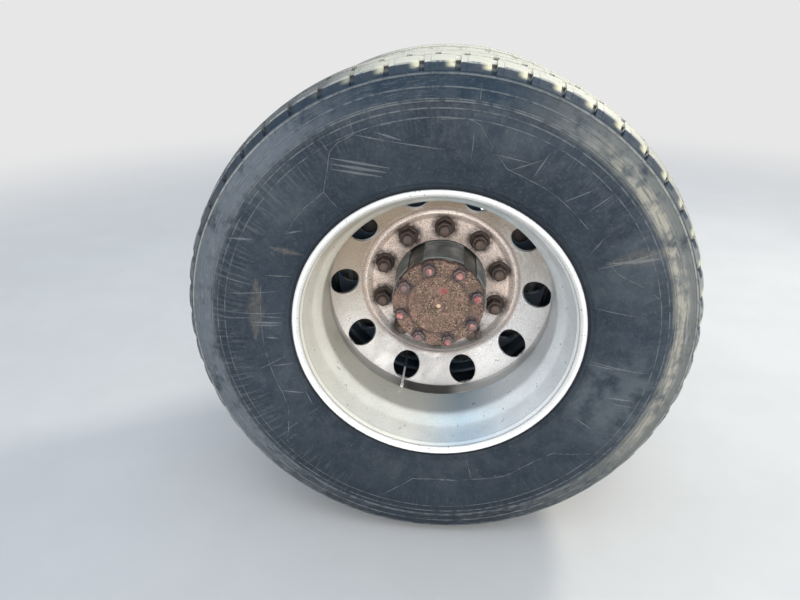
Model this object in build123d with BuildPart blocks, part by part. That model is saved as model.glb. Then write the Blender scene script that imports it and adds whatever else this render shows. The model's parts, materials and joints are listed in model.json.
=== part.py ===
"""Dual drive wheel end of a heavy truck: two disc wheels and their tyres on one hub, with the brake drum,
the axle shaft that drives them, and the stub of axle housing that carries the S-cam drum brake.

Millimetres. +Z is up, +X is the front of the vehicle, and the wheels spin about the Y axis, with the
outboard side at -Y. The origin is the centre of the axle tube's inboard end. A station w is a distance
outboard of the plane in which the two wheel discs meet.
"""

from build123d import *
import math
import os

os.makedirs("parts", exist_ok=True)

# Driving dimensions
TUBE_END = 640.0          # from the discs' mating plane to the inboard end of the axle tube
RIM_CENTRE = 168.0        # half of the spacing between the two tyres
RIM_HALF = 104.8          # half of the rim's width between the flanges
BEAD_R = 285.75           # bead seat radius at the flange
TREAD_R = 531.0           # new tyre's radius at the crown, less its wear
TYRE_HALF = 139.5         # half of the tyre's section width
DISC_T = 11.0             # wheel disc at its bolting face
BORE_R = 110.05           # pilot bore of each disc
STUD_COUNT = 10
STUD_CIRCLE_R = 142.875
STUD_R = 11.0
STUD_PHASE = 3.1          # first wheel stud, degrees clockwise from the top as seen from outboard
HAND_HOLE_CIRCLE_R = 228.3
HAND_HOLE_R = 32.5
HAND_HOLE_PHASE = 20.6
FLANGE_STUDS = 8
FLANGE_STUD_CIRCLE_R = 88.6
FLANGE_PHASE = -14.9
DRUM_R = 209.5            # inside radius of the brake drum
LINING_GAP = 5.0          # released shoes, worn linings
SHAFT_R = 24.0
SPINDLE_BORE_R = 32.0
TUBE_R = 67.0
TUBE_BORE_R = 55.0
REGISTER_R = 64.0         # the tube's end, turned down to be pressed in its socket
REGISTER_LENGTH = 80.0
BRAKE_W = -155.0          # middle of the brake shoes
CAM_R = 152.0             # camshaft's distance from the spin axis
CAM_TURN = 165.0          # its direction, degrees from the front, turning upwards
SLACK_ARM = 152.0
CHAMBER_W = -430.0        # plane of the slack adjuster and the brake chamber

SPIN = Axis((0, 0, 0), (0, -1, 0))


# Planes: LENGTHWISE sketches are drawn in (radius, w), and across(w) is seen from outboard
LENGTHWISE = Plane(origin=(0, -TUBE_END, 0), x_dir=(0, 0, 1), z_dir=(1, 0, 0))


def across(w):
    """The plane square to the spin axis at station w: front to the right, up to the top."""
    return Plane(origin=(0, -(TUBE_END + w), 0), x_dir=(1, 0, 0), z_dir=(0, -1, 0))


def brake_plane(w):
    """The same plane turned so that its first axis points at the camshaft."""
    turn = math.radians(CAM_TURN)
    return Plane(
        origin=(0, -(TUBE_END + w), 0),
        x_dir=(math.cos(turn), 0, math.sin(turn)),
        z_dir=(0, -1, 0),
    )


def clockwise(phase):
    """A start angle for PolarLocations, from degrees clockwise from the top."""
    return 90.0 - phase


def polar(radius, degrees):
    """A point of a sketch from its radius and angle."""
    return (radius * math.cos(math.radians(degrees)), radius * math.sin(math.radians(degrees)))


def hull(*circles):
    """A face stretched round circles given as (x, y, radius), in the sketch that is open."""
    with BuildLine(mode=Mode.PRIVATE) as outline:
        for x, y, radius in circles:
            CenterArc((x, y), radius, 0, 360)
    make_hull(outline.edges())


def ring_sector(inner, outer, start, end):
    """A face between two radii and two angles, in the sketch that is open."""
    with BuildLine(mode=Mode.PRIVATE) as outline:
        CenterArc((0, 0), outer, start, end - start)
        CenterArc((0, 0), inner, start, end - start)
        Line(polar(inner, start), polar(outer, start))
        Line(polar(inner, end), polar(outer, end))
    make_face(outline.edges())


def save(piece, name):
    piece.part.label = name
    export_step(piece.part, f"parts/{name}.step")


# Tyres: a bead, sidewall and shoulder on each side, joined by the crowned tread
TREAD_EDGE = (521.0, 111.0)                          # radius and offset of the tread's edge
SHOULDER = (503.0, 121.0)
BULGE = (408.0, TYRE_HALF)
WALL_FOOT = (299.6, 108.6)
BEAD_HEEL = (286.4, 103.4)
BEAD_TOE = (279.2, 78.0)
LINER_FOOT = (304.0, 88.0)
LINER_BULGE = (405.0, 126.0)
LINER_EDGE = (492.0, 104.0)
SIDES = (("outer", 1), ("inner", -1))                # name, side of the mating plane


def chords(start, middle, end, steps):
    """Points along the arc through three points, so that it turns into a few plain cones."""
    arc = ThreePointArc(start, middle, end, mode=Mode.PRIVATE)
    return [arc @ (k / steps) for k in range(steps + 1)]


for wheel, side in SIDES:
    centre = side * RIM_CENTRE
    with BuildPart() as tyre:
        with BuildSketch(LENGTHWISE):
            with BuildLine():
                for s in (1, -1):
                    toe, heel, foot, bulge, shoulder, tread_edge, liner_foot, liner_bulge, liner_edge = [
                        (radius, centre + s * offset)
                        for radius, offset in (BEAD_TOE, BEAD_HEEL, WALL_FOOT, BULGE, SHOULDER, TREAD_EDGE,
                                               LINER_FOOT, LINER_BULGE, LINER_EDGE)
                    ]
                    Polyline(liner_foot, toe, heel, *chords(foot, bulge, shoulder, 4), tread_edge)
                    Polyline(liner_foot, liner_bulge, liner_edge, (LINER_EDGE[0], centre))
                edges = [(TREAD_EDGE[0], centre + s * TREAD_EDGE[1]) for s in (1, -1)]
                Polyline(*chords(edges[0], (TREAD_R, centre), edges[1], 4))
            make_face()
        revolve(axis=SPIN)
    save(tyre, f"tyre_{wheel}")

# Rims: one rolled section with the well towards the disc
RIM_SECTION = (
    # radius, offset from the rim's centre; the underside first, from the lip beside the dish
    (298.5, 116.0), (293.0, 117.5), (286.5, 113.0), (280.0, 100.0), (268.0, 57.0), (252.5, 24.0),
    (252.5, -56.0), (269.5, -70.0), (280.0, -101.0), (286.5, -113.0), (293.0, -117.5), (298.5, -116.0),
    # then the side that carries the tyre
    (298.5, -109.8), (291.5, -107.0), (BEAD_R, -RIM_HALF), (275.5, -67.0), (258.5, -52.0),
    (258.5, 26.0), (274.0, 61.0), (BEAD_R, RIM_HALF), (291.5, 107.0), (298.5, 109.8),
)

for wheel, side in SIDES:
    with BuildPart() as rim:
        with BuildSketch(LENGTHWISE):
            with BuildLine():
                Polyline(*[(r, side * (RIM_CENTRE + o)) for r, o in RIM_SECTION], close=True)
            make_face()
        revolve(axis=SPIN)
    save(rim, f"rim_{wheel}")

# Discs: flat bolting face, crest, cone with the hand holes, and the skirt that is welded in the rim
CONE_FOOT = (187.0, 24.5)
CONE_TOP = (262.0, 60.0)
SKIRT_END = 97.0

for wheel, side in SIDES:
    with BuildPart() as disc:
        with BuildSketch(LENGTHWISE):
            with BuildLine():
                face_edge = (167.0, side * DISC_T)
                crest = (180.5, side * 25.0)
                foot = (CONE_FOOT[0], side * CONE_FOOT[1])
                top = (CONE_TOP[0], side * CONE_TOP[1])
                Polyline(
                    (BORE_R, 0), (BORE_R, side * DISC_T), face_edge, (175.0, side * 17.0), crest, foot, top,
                    (262.0, side * SKIRT_END), (269.2, side * SKIRT_END), (268.0, side * 62.0),
                    (263.0, side * 50.0), (186.0, side * 14.5), (172.0, side * 6.5), (162.0, 0),
                    close=True,
                )
            make_face()
        revolve(axis=SPIN)
        with BuildSketch(across(0)):
            with PolarLocations(STUD_CIRCLE_R, STUD_COUNT, clockwise(STUD_PHASE)):
                Circle(STUD_R + 2)
            with PolarLocations(HAND_HOLE_CIRCLE_R, STUD_COUNT, clockwise(HAND_HOLE_PHASE)):
                Circle(HAND_HOLE_R)
        extrude(amount=side * 100, mode=Mode.SUBTRACT)
    save(disc, f"disc_{wheel}")

# Hub: flange behind the drum, barrel with the bearing bores, and pads along it that pilot the wheels
HUB_END = 118.0
BARREL_R = 104.0
PADS = 5
PAD_PHASE = 4.7           # first pad's middle, degrees clockwise from the top
PAD_ANGLE = 50.0
PAD_R = 107.0
PILOT_END = 14.0          # up to here the pads are turned to fit the wheels' bores
DRUM_T = 11.0
FLANGE_FRONT = -DISC_T - DRUM_T
FLANGE_BACK = FLANGE_FRONT - 20
SEAL_END = -120.0
CUP_OUT_R = 70.0
CUP_IN_R = 76.2
BEARING_OUT = (38.0, 74.0)
BEARING_IN = (-102.0, -66.0)

with BuildPart() as hub:
    with BuildSketch(LENGTHWISE):
        with BuildLine():
            Polyline(
                # outside, from the shaft flange's seat to the seal
                (CUP_OUT_R, HUB_END), (BARREL_R - 1, HUB_END), (BARREL_R, HUB_END - 2),
                (BARREL_R, FLANGE_FRONT), (162, FLANGE_FRONT), (162, FLANGE_BACK),
                (124, FLANGE_BACK), (106, FLANGE_BACK - 12), (92, -72), (90, SEAL_END),
                # inside, back to the front
                (78, SEAL_END), (78, BEARING_IN[0]), (CUP_IN_R, BEARING_IN[0]), (CUP_IN_R, BEARING_IN[1]),
                (66, BEARING_IN[1]), (66, 30), (62, 36), (62, BEARING_OUT[0]),
                (CUP_OUT_R, BEARING_OUT[0]),
                close=True,
            )
        make_face()
    revolve(axis=SPIN)
    for outer, end in ((BORE_R - 0.3, PILOT_END), (PAD_R, HUB_END)):
        with BuildSketch(across(FLANGE_FRONT)):
            for k in range(PADS):
                middle = clockwise(PAD_PHASE + 360 / PADS * k)
                ring_sector(BARREL_R - 4, outer, middle - PAD_ANGLE / 2, middle + PAD_ANGLE / 2)
        extrude(amount=end - FLANGE_FRONT)
    with BuildSketch(across(FLANGE_BACK - 10)):
        with PolarLocations(STUD_CIRCLE_R, STUD_COUNT, clockwise(STUD_PHASE)):
            Circle(STUD_R + 0.2)
    extrude(amount=30, mode=Mode.SUBTRACT)
    with BuildSketch(across(HUB_END)):
        with PolarLocations(FLANGE_STUD_CIRCLE_R, FLANGE_STUDS, clockwise(FLANGE_PHASE)):
            Circle(8.2)
    extrude(amount=-28, mode=Mode.SUBTRACT)
save(hub, "hub")

# Brake drum: bolting flange, conical web, ribbed braking band and the stiffening ring at its mouth
DRUM_MOUTH = -257.0
DRUM_BAND_R = 228.0
DRUM_RIBS = (-100.0, -148.0, -196.0)
DRUM_RIB_R = 233.0

ribs = []
for w in DRUM_RIBS:
    ribs += [(DRUM_BAND_R, w), (DRUM_RIB_R, w - 2), (DRUM_RIB_R, w - 8), (DRUM_BAND_R, w - 10)]

with BuildPart() as drum:
    with BuildSketch(LENGTHWISE):
        with BuildLine():
            Polyline(
                (BORE_R, -DISC_T), (158, -DISC_T), (164, -18), (176, -30), (218, -52), (DRUM_BAND_R, -62),
                *ribs, (DRUM_BAND_R, -236), (234, -240), (234, DRUM_MOUTH), (DRUM_R + 3, DRUM_MOUTH),
                (DRUM_R + 3, -250), (DRUM_R, -248), (DRUM_R, -72), (204, -62), (172, -44),
                (166, FLANGE_FRONT - 3), (164, FLANGE_FRONT), (BORE_R, FLANGE_FRONT),
                close=True,
            )
        make_face()
    revolve(axis=SPIN)
    with BuildSketch(across(FLANGE_FRONT - 5)):
        with PolarLocations(STUD_CIRCLE_R, STUD_COUNT, clockwise(STUD_PHASE)):
            Circle(STUD_R + 1)
    extrude(amount=30, mode=Mode.SUBTRACT)
save(drum, "brake_drum")

# Wheel studs, pressed in the hub flange from behind, and their flange nuts
STUD_TIP = 49.0
STUD_HEAD_R = 16.0
STUD_HEAD_T = 8.0
NUT_FLANGE = 6.0
NUT_FLANGE_R = 23.5
NUT_TOP = 40.0
NUT_FLATS = 33.0

with BuildPart() as wheel_studs:
    with BuildSketch(across(FLANGE_BACK - STUD_HEAD_T)):
        with PolarLocations(STUD_CIRCLE_R, STUD_COUNT, clockwise(STUD_PHASE)):
            Circle(STUD_HEAD_R)
    extrude(amount=STUD_HEAD_T)
    with BuildSketch(across(FLANGE_BACK - STUD_HEAD_T)):
        with PolarLocations(STUD_CIRCLE_R, STUD_COUNT, clockwise(STUD_PHASE)):
            Circle(STUD_R)
    extrude(amount=STUD_TIP - FLANGE_BACK + STUD_HEAD_T)
save(wheel_studs, "wheel_studs")

with BuildPart() as wheel_nuts:
    with BuildSketch(across(DISC_T)):
        with PolarLocations(STUD_CIRCLE_R, STUD_COUNT, clockwise(STUD_PHASE)):
            Circle(NUT_FLANGE_R)
    extrude(amount=NUT_FLANGE)
    with BuildSketch(across(DISC_T + NUT_FLANGE)):
        with PolarLocations(STUD_CIRCLE_R, STUD_COUNT, clockwise(STUD_PHASE)):
            RegularPolygon(NUT_FLATS / 2, 6, major_radius=False)
    extrude(amount=NUT_TOP - DISC_T - NUT_FLANGE)
    with BuildSketch(across(DISC_T)):
        with PolarLocations(STUD_CIRCLE_R, STUD_COUNT, clockwise(STUD_PHASE)):
            Circle(STUD_R + 0.2)
    extrude(amount=NUT_TOP, mode=Mode.SUBTRACT)
save(wheel_nuts, "wheel_nuts")

# Axle shaft: lobed flange on the hub's end, plain shaft and the splined end at the differential
SHAFT_FLANGE_T = 20.0
SHAFT_FLANGE_R = 104.5
SHAFT_LOBE_R = 17.5
SHAFT_STUD_R = 8.0
SHAFT_STUD_END = 157.5
SHAFT_NUT_R = 12.0
SHAFT_NUT_T = 14.0
SHAFT_STUD_SET = 26.0     # how deep each stud is screwed in the hub
SPLINE_R = 26.0
SPLINE_LENGTH = 70.0

with BuildPart() as axle_shaft:
    with BuildSketch(across(HUB_END)):
        Circle(SHAFT_FLANGE_R)
        with PolarLocations(FLANGE_STUD_CIRCLE_R, FLANGE_STUDS, clockwise(FLANGE_PHASE)):
            Circle(SHAFT_LOBE_R)
    extrude(amount=SHAFT_FLANGE_T)
    with BuildSketch(LENGTHWISE):
        with BuildLine():
            Polyline(
                (0, 145), (67, 145), (73, 138), (68, HUB_END - 2), (32, HUB_END - 2), (SHAFT_R, 100),
                (SHAFT_R, -TUBE_END + 20), (SPLINE_R, -TUBE_END + 16),
                (SPLINE_R, -TUBE_END - SPLINE_LENGTH + 4), (SPLINE_R - 4, -TUBE_END - SPLINE_LENGTH),
                (0, -TUBE_END - SPLINE_LENGTH),
                close=True,
            )
        make_face()
    revolve(axis=SPIN)
    with BuildSketch(across(HUB_END)):
        with PolarLocations(FLANGE_STUD_CIRCLE_R, FLANGE_STUDS, clockwise(FLANGE_PHASE)):
            Circle(SHAFT_STUD_R + 0.2)
    extrude(amount=SHAFT_FLANGE_T, mode=Mode.SUBTRACT)
save(axle_shaft, "axle_shaft")

with BuildPart() as shaft_studs:
    with BuildSketch(across(HUB_END - SHAFT_STUD_SET)):
        with PolarLocations(FLANGE_STUD_CIRCLE_R, FLANGE_STUDS, clockwise(FLANGE_PHASE)):
            Circle(SHAFT_STUD_R)
    extrude(amount=SHAFT_STUD_END - HUB_END + SHAFT_STUD_SET)
    with BuildSketch(across(HUB_END + SHAFT_FLANGE_T)):
        with PolarLocations(FLANGE_STUD_CIRCLE_R, FLANGE_STUDS, clockwise(FLANGE_PHASE)):
            RegularPolygon(SHAFT_NUT_R, 6, major_radius=False)
    extrude(amount=SHAFT_NUT_T)
save(shaft_studs, "shaft_studs")

# Wheel bearings, each as one closed ring with a running fit on the spindle
JOURNAL_OUT_R = 41.3
JOURNAL_IN_R = 47.6
RUNNING = 0.05

with BuildPart() as bearing_outer:
    with BuildSketch(across(BEARING_OUT[0])):
        Circle(CUP_OUT_R)
        Circle(JOURNAL_OUT_R + RUNNING, mode=Mode.SUBTRACT)
    extrude(amount=BEARING_OUT[1] - BEARING_OUT[0])
save(bearing_outer, "bearing_outer")

with BuildPart() as bearing_inner:
    with BuildSketch(across(BEARING_IN[0])):
        Circle(CUP_IN_R)
        Circle(JOURNAL_IN_R + RUNNING, mode=Mode.SUBTRACT)
    extrude(amount=BEARING_IN[1] - BEARING_IN[0])
save(bearing_inner, "bearing_inner")

# Valve stems: out of each rim's well beside the disc, the inner one through a hand hole of both discs
VALVES = (
    # wheel, degrees clockwise from the top, and the stem's corners as (radius, w)
    ("inner", HAND_HOLE_PHASE + 180, ((252.2, -132), (241, -132), (241, 20), (246, 122))),
    ("outer", HAND_HOLE_PHASE, ((252.2, 124), (243.5, 124), (243.5, 152))),
)
VALVE_R = 4.2
VALVE_BEND = 8.0
VALVE_FOOT_R = 9.0
VALVE_FOOT_T = 4.0

for wheel, turn, corners in VALVES:
    aim = math.radians(clockwise(turn))
    valve_plane = Plane(
        origin=(0, -TUBE_END, 0),
        x_dir=(math.cos(aim), 0, math.sin(aim)),
        z_dir=(math.sin(aim), 0, -math.cos(aim)),
    )
    with BuildPart() as valve:
        with BuildLine(valve_plane) as route:
            FilletPolyline(*corners, radius=VALVE_BEND)
        with BuildSketch(Plane(route.line @ 0, z_dir=route.line % 0)):
            Circle(VALVE_R)
        sweep()
        with BuildSketch(Plane(route.line @ 0, z_dir=route.line % 0)):
            Circle(VALVE_FOOT_R)
        extrude(amount=VALVE_FOOT_T)
    save(valve, f"valve_{wheel}")

# Axle housing: spindle, brake flange and tube in one forging
BRAKE_FLANGE = (-204.0, -186.0)
SPIDER_BOLTS = 12
SPIDER_BOLT_CIRCLE_R = 82.0
SPIDER_BOLT_R = 8.0
SPIDER_BOLT_START = 15.0
SPIDER_BOLT_LENGTH = 62.0
SPIDER_NUT_R = 12.0
SPIDER_NUT_T = 13.0

with BuildPart() as axle_housing:
    with BuildSketch(LENGTHWISE):
        with BuildLine():
            Polyline(
                (SPINDLE_BORE_R, 98), (JOURNAL_OUT_R - 1, 98), (JOURNAL_OUT_R, 96), (JOURNAL_OUT_R, 37),
                (46, 30), (46, -61), (JOURNAL_IN_R, -64), (JOURNAL_IN_R, -103), (57, -103), (57, -135),
                (64, -160), (66, BRAKE_FLANGE[1]), (97, BRAKE_FLANGE[1]), (97, BRAKE_FLANGE[0]),
                (76, BRAKE_FLANGE[0] - 4), (TUBE_R, -250), (TUBE_R, REGISTER_LENGTH - TUBE_END),
                (REGISTER_R, REGISTER_LENGTH - TUBE_END), (REGISTER_R, -TUBE_END),
                (TUBE_BORE_R, -TUBE_END), (TUBE_BORE_R, -330), (SPINDLE_BORE_R, -300),
                close=True,
            )
        make_face()
    revolve(axis=SPIN)
    with BuildSketch(across(BRAKE_FLANGE[0] - 10)):
        with PolarLocations(SPIDER_BOLT_CIRCLE_R, SPIDER_BOLTS, SPIDER_BOLT_START):
            Circle(SPIDER_BOLT_R + 0.2)
    extrude(amount=40, mode=Mode.SUBTRACT)
save(axle_housing, "axle_housing")

with BuildPart() as spindle_nut:
    with BuildSketch(across(BEARING_OUT[1] + 1)):
        RegularPolygon(58, 8)
        Circle(JOURNAL_OUT_R, mode=Mode.SUBTRACT)
    extrude(amount=18)
save(spindle_nut, "spindle_nut")

# Brake spider: ring on the axle flange, an ear for each anchor pin and a boss for the camshaft
SPIDER_T = 18.0
ANCHOR_X = -158.0
ANCHOR_Y = 40.0
ANCHOR_R = 16.0
CAMSHAFT_R = 19.0
SPIDER_W = BRAKE_FLANGE[1]

with BuildPart() as brake_spider:
    with BuildSketch(brake_plane(SPIDER_W)):
        hull((0, 0, 62), (CAM_R, 0, 28))
        hull((0, 0, 70), (ANCHOR_X, ANCHOR_Y, 27), (ANCHOR_X, -ANCHOR_Y, 27))
        Circle(97)
        Circle(68, mode=Mode.SUBTRACT)
        with Locations((CAM_R, 0)):
            Circle(CAMSHAFT_R + 0.3, mode=Mode.SUBTRACT)
        with Locations((ANCHOR_X, ANCHOR_Y), (ANCHOR_X, -ANCHOR_Y)):
            Circle(ANCHOR_R + 0.2, mode=Mode.SUBTRACT)
        with Locations((ANCHOR_X + 22, 0)):
            Circle(18, mode=Mode.SUBTRACT)
    extrude(amount=SPIDER_T)
    with BuildSketch(across(SPIDER_W)):
        with PolarLocations(SPIDER_BOLT_CIRCLE_R, SPIDER_BOLTS, SPIDER_BOLT_START):
            Circle(SPIDER_BOLT_R + 0.2)
    extrude(amount=SPIDER_T, mode=Mode.SUBTRACT)
save(brake_spider, "brake_spider")

with BuildPart() as spider_bolts:
    with BuildSketch(across(BRAKE_FLANGE[0] - 10)):
        with PolarLocations(SPIDER_BOLT_CIRCLE_R, SPIDER_BOLTS, SPIDER_BOLT_START):
            Circle(SPIDER_BOLT_R)
    extrude(amount=SPIDER_BOLT_LENGTH)
    with BuildSketch(across(SPIDER_W + SPIDER_T)):
        with PolarLocations(SPIDER_BOLT_CIRCLE_R, SPIDER_BOLTS, SPIDER_BOLT_START):
            RegularPolygon(SPIDER_NUT_R, 6, major_radius=False)
    extrude(amount=SPIDER_NUT_T)
save(spider_bolts, "spider_bolts")

# Brake shoes: a curved table on two webs, from the anchor pin round to the cam roller
TABLE_OUT_R = 189.5
TABLE_IN_R = 183.5
SHOE_HALF = 89.0
WEB_OFFSET = 41.0
WEB_T = 8.0
WEB_IN_R = 142.0
WEB_MIDDLE_R = 163.0
TABLE_ENDS = (33.0, 147.0)                 # degrees from the camshaft
WEB_ENDS = (34.0, 146.0)
ROLLER_R = 20.0
ROLLER_PIN_R = 8.0
ROLLER_LENGTH = 40.0
ROLLER_PIN_LENGTH = 96.0
ANCHOR_PIN_LENGTH = 100.0
ROLLER_Y = 39.0
LINING_R = DRUM_R - LINING_GAP
BLOCKS = ((36.0, 88.0), (92.0, 144.0))     # the two lining blocks of a shoe, degrees from the camshaft
SHOES = (("upper", -1), ("lower", 1))      # name, side of the line from anchor to camshaft


def shoe_sector(inner, outer, start, end, side):
    """A ring sector from angles measured away from the camshaft, on the shoe's own side."""
    first, last = sorted((side * start, side * end))
    ring_sector(inner, outer, first, last)


for name, side in SHOES:
    with BuildPart() as shoe:
        with BuildSketch(brake_plane(BRAKE_W - SHOE_HALF)):
            shoe_sector(TABLE_IN_R, TABLE_OUT_R, *TABLE_ENDS, side)
        extrude(amount=2 * SHOE_HALF)
        for offset_w in (-WEB_OFFSET, WEB_OFFSET):
            with BuildSketch(brake_plane(BRAKE_W + offset_w - WEB_T / 2)):
                shoe_sector(WEB_IN_R, TABLE_IN_R + 1, *WEB_ENDS, side)
                hull((CAM_R, side * ROLLER_Y, 15), (*polar(WEB_MIDDLE_R, side * (WEB_ENDS[0] + 4)), 19))
                hull((ANCHOR_X, side * ANCHOR_Y, 25), (*polar(WEB_MIDDLE_R, side * (WEB_ENDS[1] - 4)), 19))
                with Locations((CAM_R, side * ROLLER_Y)):
                    Circle(ROLLER_PIN_R + 0.2, mode=Mode.SUBTRACT)
                with Locations((ANCHOR_X, side * ANCHOR_Y)):
                    Circle(ANCHOR_R + 0.2, mode=Mode.SUBTRACT)
            extrude(amount=WEB_T)
    save(shoe, f"shoe_{name}")

    with BuildPart() as lining:
        for start, end in BLOCKS:
            with BuildSketch(brake_plane(BRAKE_W - SHOE_HALF)):
                shoe_sector(TABLE_OUT_R + 0.1, LINING_R, start, end, side)
            extrude(amount=2 * SHOE_HALF)
    save(lining, f"lining_{name}")

with BuildPart() as anchor_pins:
    with BuildSketch(brake_plane(BRAKE_W - ANCHOR_PIN_LENGTH / 2)):
        with Locations((ANCHOR_X, ANCHOR_Y), (ANCHOR_X, -ANCHOR_Y)):
            Circle(ANCHOR_R)
    extrude(amount=ANCHOR_PIN_LENGTH)
save(anchor_pins, "anchor_pins")

with BuildPart() as cam_rollers:
    with BuildSketch(brake_plane(-161)):
        with Locations((CAM_R, ROLLER_Y), (CAM_R, -ROLLER_Y)):
            Circle(ROLLER_R)
    extrude(amount=ROLLER_LENGTH)
    with BuildSketch(brake_plane(BRAKE_W - ROLLER_PIN_LENGTH / 2)):
        with Locations((CAM_R, ROLLER_Y), (CAM_R, -ROLLER_Y)):
            Circle(ROLLER_PIN_R)
    extrude(amount=ROLLER_PIN_LENGTH)
save(cam_rollers, "cam_rollers")

# Camshaft: S-shaped head between the rollers, shaft back to the slack adjuster
CAM_HEAD = (-162.0, -128.0)
SLACK_T = 28.0
WORM_R = 14.0             # housing of the worm that turns the camshaft in the slack adjuster
WORM_DROP = 36.0
WORM_REACH = 34.0
WORM_HEX_R = 8.0
CAM_TUBE_R = 27.0
CAM_NECK_R = 22.8         # where the tube passes between the shoes' webs
CAM_NECK_W = -210.0
CAM_STUB = 26.0           # the camshaft's end past the slack adjuster's middle

with BuildPart() as camshaft:
    with BuildSketch(brake_plane(CAM_HEAD[0])):
        with BuildLine():
            for s in (1, -1):
                base = (CAM_R, s * 18)
                tip = (CAM_R + s * 37, -s * 4)
                heel = (CAM_R + s * 31, -s * 12)
                ThreePointArc(base, (CAM_R + s * 22, s * 15.5), tip)
                ThreePointArc(tip, (CAM_R + s * 36, -s * 10), heel)
                ThreePointArc(heel, (CAM_R + s * 16, -s * 14), (CAM_R, -s * 18))
        make_face()
    extrude(amount=CAM_HEAD[1] - CAM_HEAD[0])
    with BuildSketch(brake_plane(CHAMBER_W - CAM_STUB)):
        with Locations((CAM_R, 0)):
            Circle(CAMSHAFT_R)
    extrude(amount=CAM_HEAD[0] - CHAMBER_W + CAM_STUB)
save(camshaft, "camshaft")

with BuildPart() as cam_tube:
    with BuildSketch(brake_plane(CHAMBER_W + SLACK_T / 2 + 4)):
        with Locations((CAM_R, 0)):
            Circle(CAM_TUBE_R)
    extrude(amount=CAM_NECK_W - CHAMBER_W - SLACK_T / 2 - 4)
    with BuildSketch(brake_plane(CAM_NECK_W - 1)):
        with Locations((CAM_R, 0)):
            Circle(CAM_NECK_R)
    extrude(amount=SPIDER_W - CAM_NECK_W + 1)
    with BuildSketch(brake_plane(CHAMBER_W)):
        with Locations((CAM_R, 0)):
            Circle(CAMSHAFT_R + 0.3)
    extrude(amount=SPIDER_W - CHAMBER_W, mode=Mode.SUBTRACT)
save(cam_tube, "cam_tube")

# Return spring across the two shoes
SPRING_X = 98.0
SPRING_W = -142.0
SPRING_R = 11.0
SPRING_BORE_R = 6.0
SPRING_LENGTH = 110.0
SPRING_WIRE_R = 2.5
SPRING_REACH = 212.0      # over the straight wire at both ends
SPRING_PLANE = brake_plane(SPRING_W)

with BuildPart() as return_spring:
    for radius, length in ((SPRING_R, SPRING_LENGTH), (SPRING_WIRE_R, SPRING_REACH)):
        start = SPRING_PLANE.from_local_coords((SPRING_X, -length / 2, 0))
        with BuildSketch(Plane(start, z_dir=SPRING_PLANE.y_dir)):
            Circle(radius)
            if radius == SPRING_R:
                Circle(SPRING_BORE_R, mode=Mode.SUBTRACT)
        extrude(amount=length)
save(return_spring, "return_spring")

# Slack adjuster on the camshaft's end, and the push rod with its clevis
CAM_AT = brake_plane(CHAMBER_W).from_local_coords((CAM_R, 0, 0))
CAM_X = CAM_AT.X
CAM_Z = CAM_AT.Z
ROD_Z = CAM_Z + SLACK_ARM
ROD_Y = -(TUBE_END + CHAMBER_W)
CHAMBER_FACE = -37.0
ROD_R = 8.0
EYE_R = 6.5

with BuildPart() as slack_adjuster:
    with BuildSketch(across(CHAMBER_W - SLACK_T / 2)):
        hull((CAM_X, CAM_Z, 38), (CAM_X, CAM_Z + 62, 22))
        hull((CAM_X, CAM_Z + 50, 20), (CAM_X, ROD_Z, 15))
        with Locations((CAM_X, CAM_Z)):
            Circle(CAMSHAFT_R + 0.2, mode=Mode.SUBTRACT)
        with Locations((CAM_X, ROD_Z)):
            Circle(EYE_R, mode=Mode.SUBTRACT)
    extrude(amount=SLACK_T)
    with BuildSketch(Plane(origin=(CAM_X - WORM_REACH, ROD_Y, CAM_Z - WORM_DROP), z_dir=(1, 0, 0))):
        Circle(WORM_R)
    extrude(amount=2 * WORM_REACH)
    with BuildSketch(Plane(origin=(CAM_X, ROD_Y, CAM_Z - WORM_DROP), z_dir=(-1, 0, 0))):
        RegularPolygon(WORM_HEX_R, 6)
    extrude(amount=WORM_REACH + 14)
save(slack_adjuster, "slack_adjuster")

with BuildPart() as push_rod:
    with BuildSketch(Plane(origin=(CAM_X + 22, ROD_Y, ROD_Z), z_dir=(1, 0, 0))):
        Circle(ROD_R)
    extrude(amount=CHAMBER_FACE + 16 - CAM_X - 22)
    with BuildSketch(across(CHAMBER_W - 26)):
        with Locations((CAM_X + 8, ROD_Z)):
            Rectangle(44, 28)
    extrude(amount=52)
    with BuildSketch(across(CHAMBER_W - SLACK_T / 2 - 0.5)):
        with Locations((CAM_X - 2, ROD_Z)):
            Rectangle(44, 60)
    extrude(amount=SLACK_T + 1, mode=Mode.SUBTRACT)
    with BuildSketch(across(CHAMBER_W - 30)):
        with Locations((CAM_X, ROD_Z)):
            Circle(EYE_R - 0.2)
    extrude(amount=60)
save(push_rod, "push_rod")

# Brake chamber: service half, spring half and the band that clamps them, turned about the push rod
ROD_AXIS = Axis((0, ROD_Y, ROD_Z), (1, 0, 0))
ROD_PROFILE = Plane(origin=(0, ROD_Y, ROD_Z), x_dir=(1, 0, 0), z_dir=(0, -1, 0))
BAND_X = (16.0, 32.0)
PORT_R = 11.0
PORT_REACH = 98.0         # from the push rod's axis to a port's face
PORT_STEPS = ((PORT_R, 60.0, Mode.ADD), (PORT_R / 2, 86.0, Mode.SUBTRACT))
PORT_LEAN = Vector(0, 0.6, 0.8)
SERVICE_PORT_X = 2.0
SPRING_PORT_X = 48.0
CHAMBER_STUD_R = 8.0
CHAMBER_STUD_REACH = 28.0
CHAMBER_STUDS = ((60.3, 0), (-60.3, 0))
CHAMBER_NUT_R = 12.0
CHAMBER_NUT_T = 13.0
BAND_LUG_R = 103.0
BAND_BOLT_R = 5.0
BAND_BOLT_LENGTH = 46.0
PLATE_T = 8.0             # the bracket's face plate


def chamber_plane(x):
    """The plane square to the push rod at x, seen from the slack adjuster."""
    return Plane(origin=(x, ROD_Y, ROD_Z), x_dir=(0, -1, 0), z_dir=(-1, 0, 0))


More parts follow.
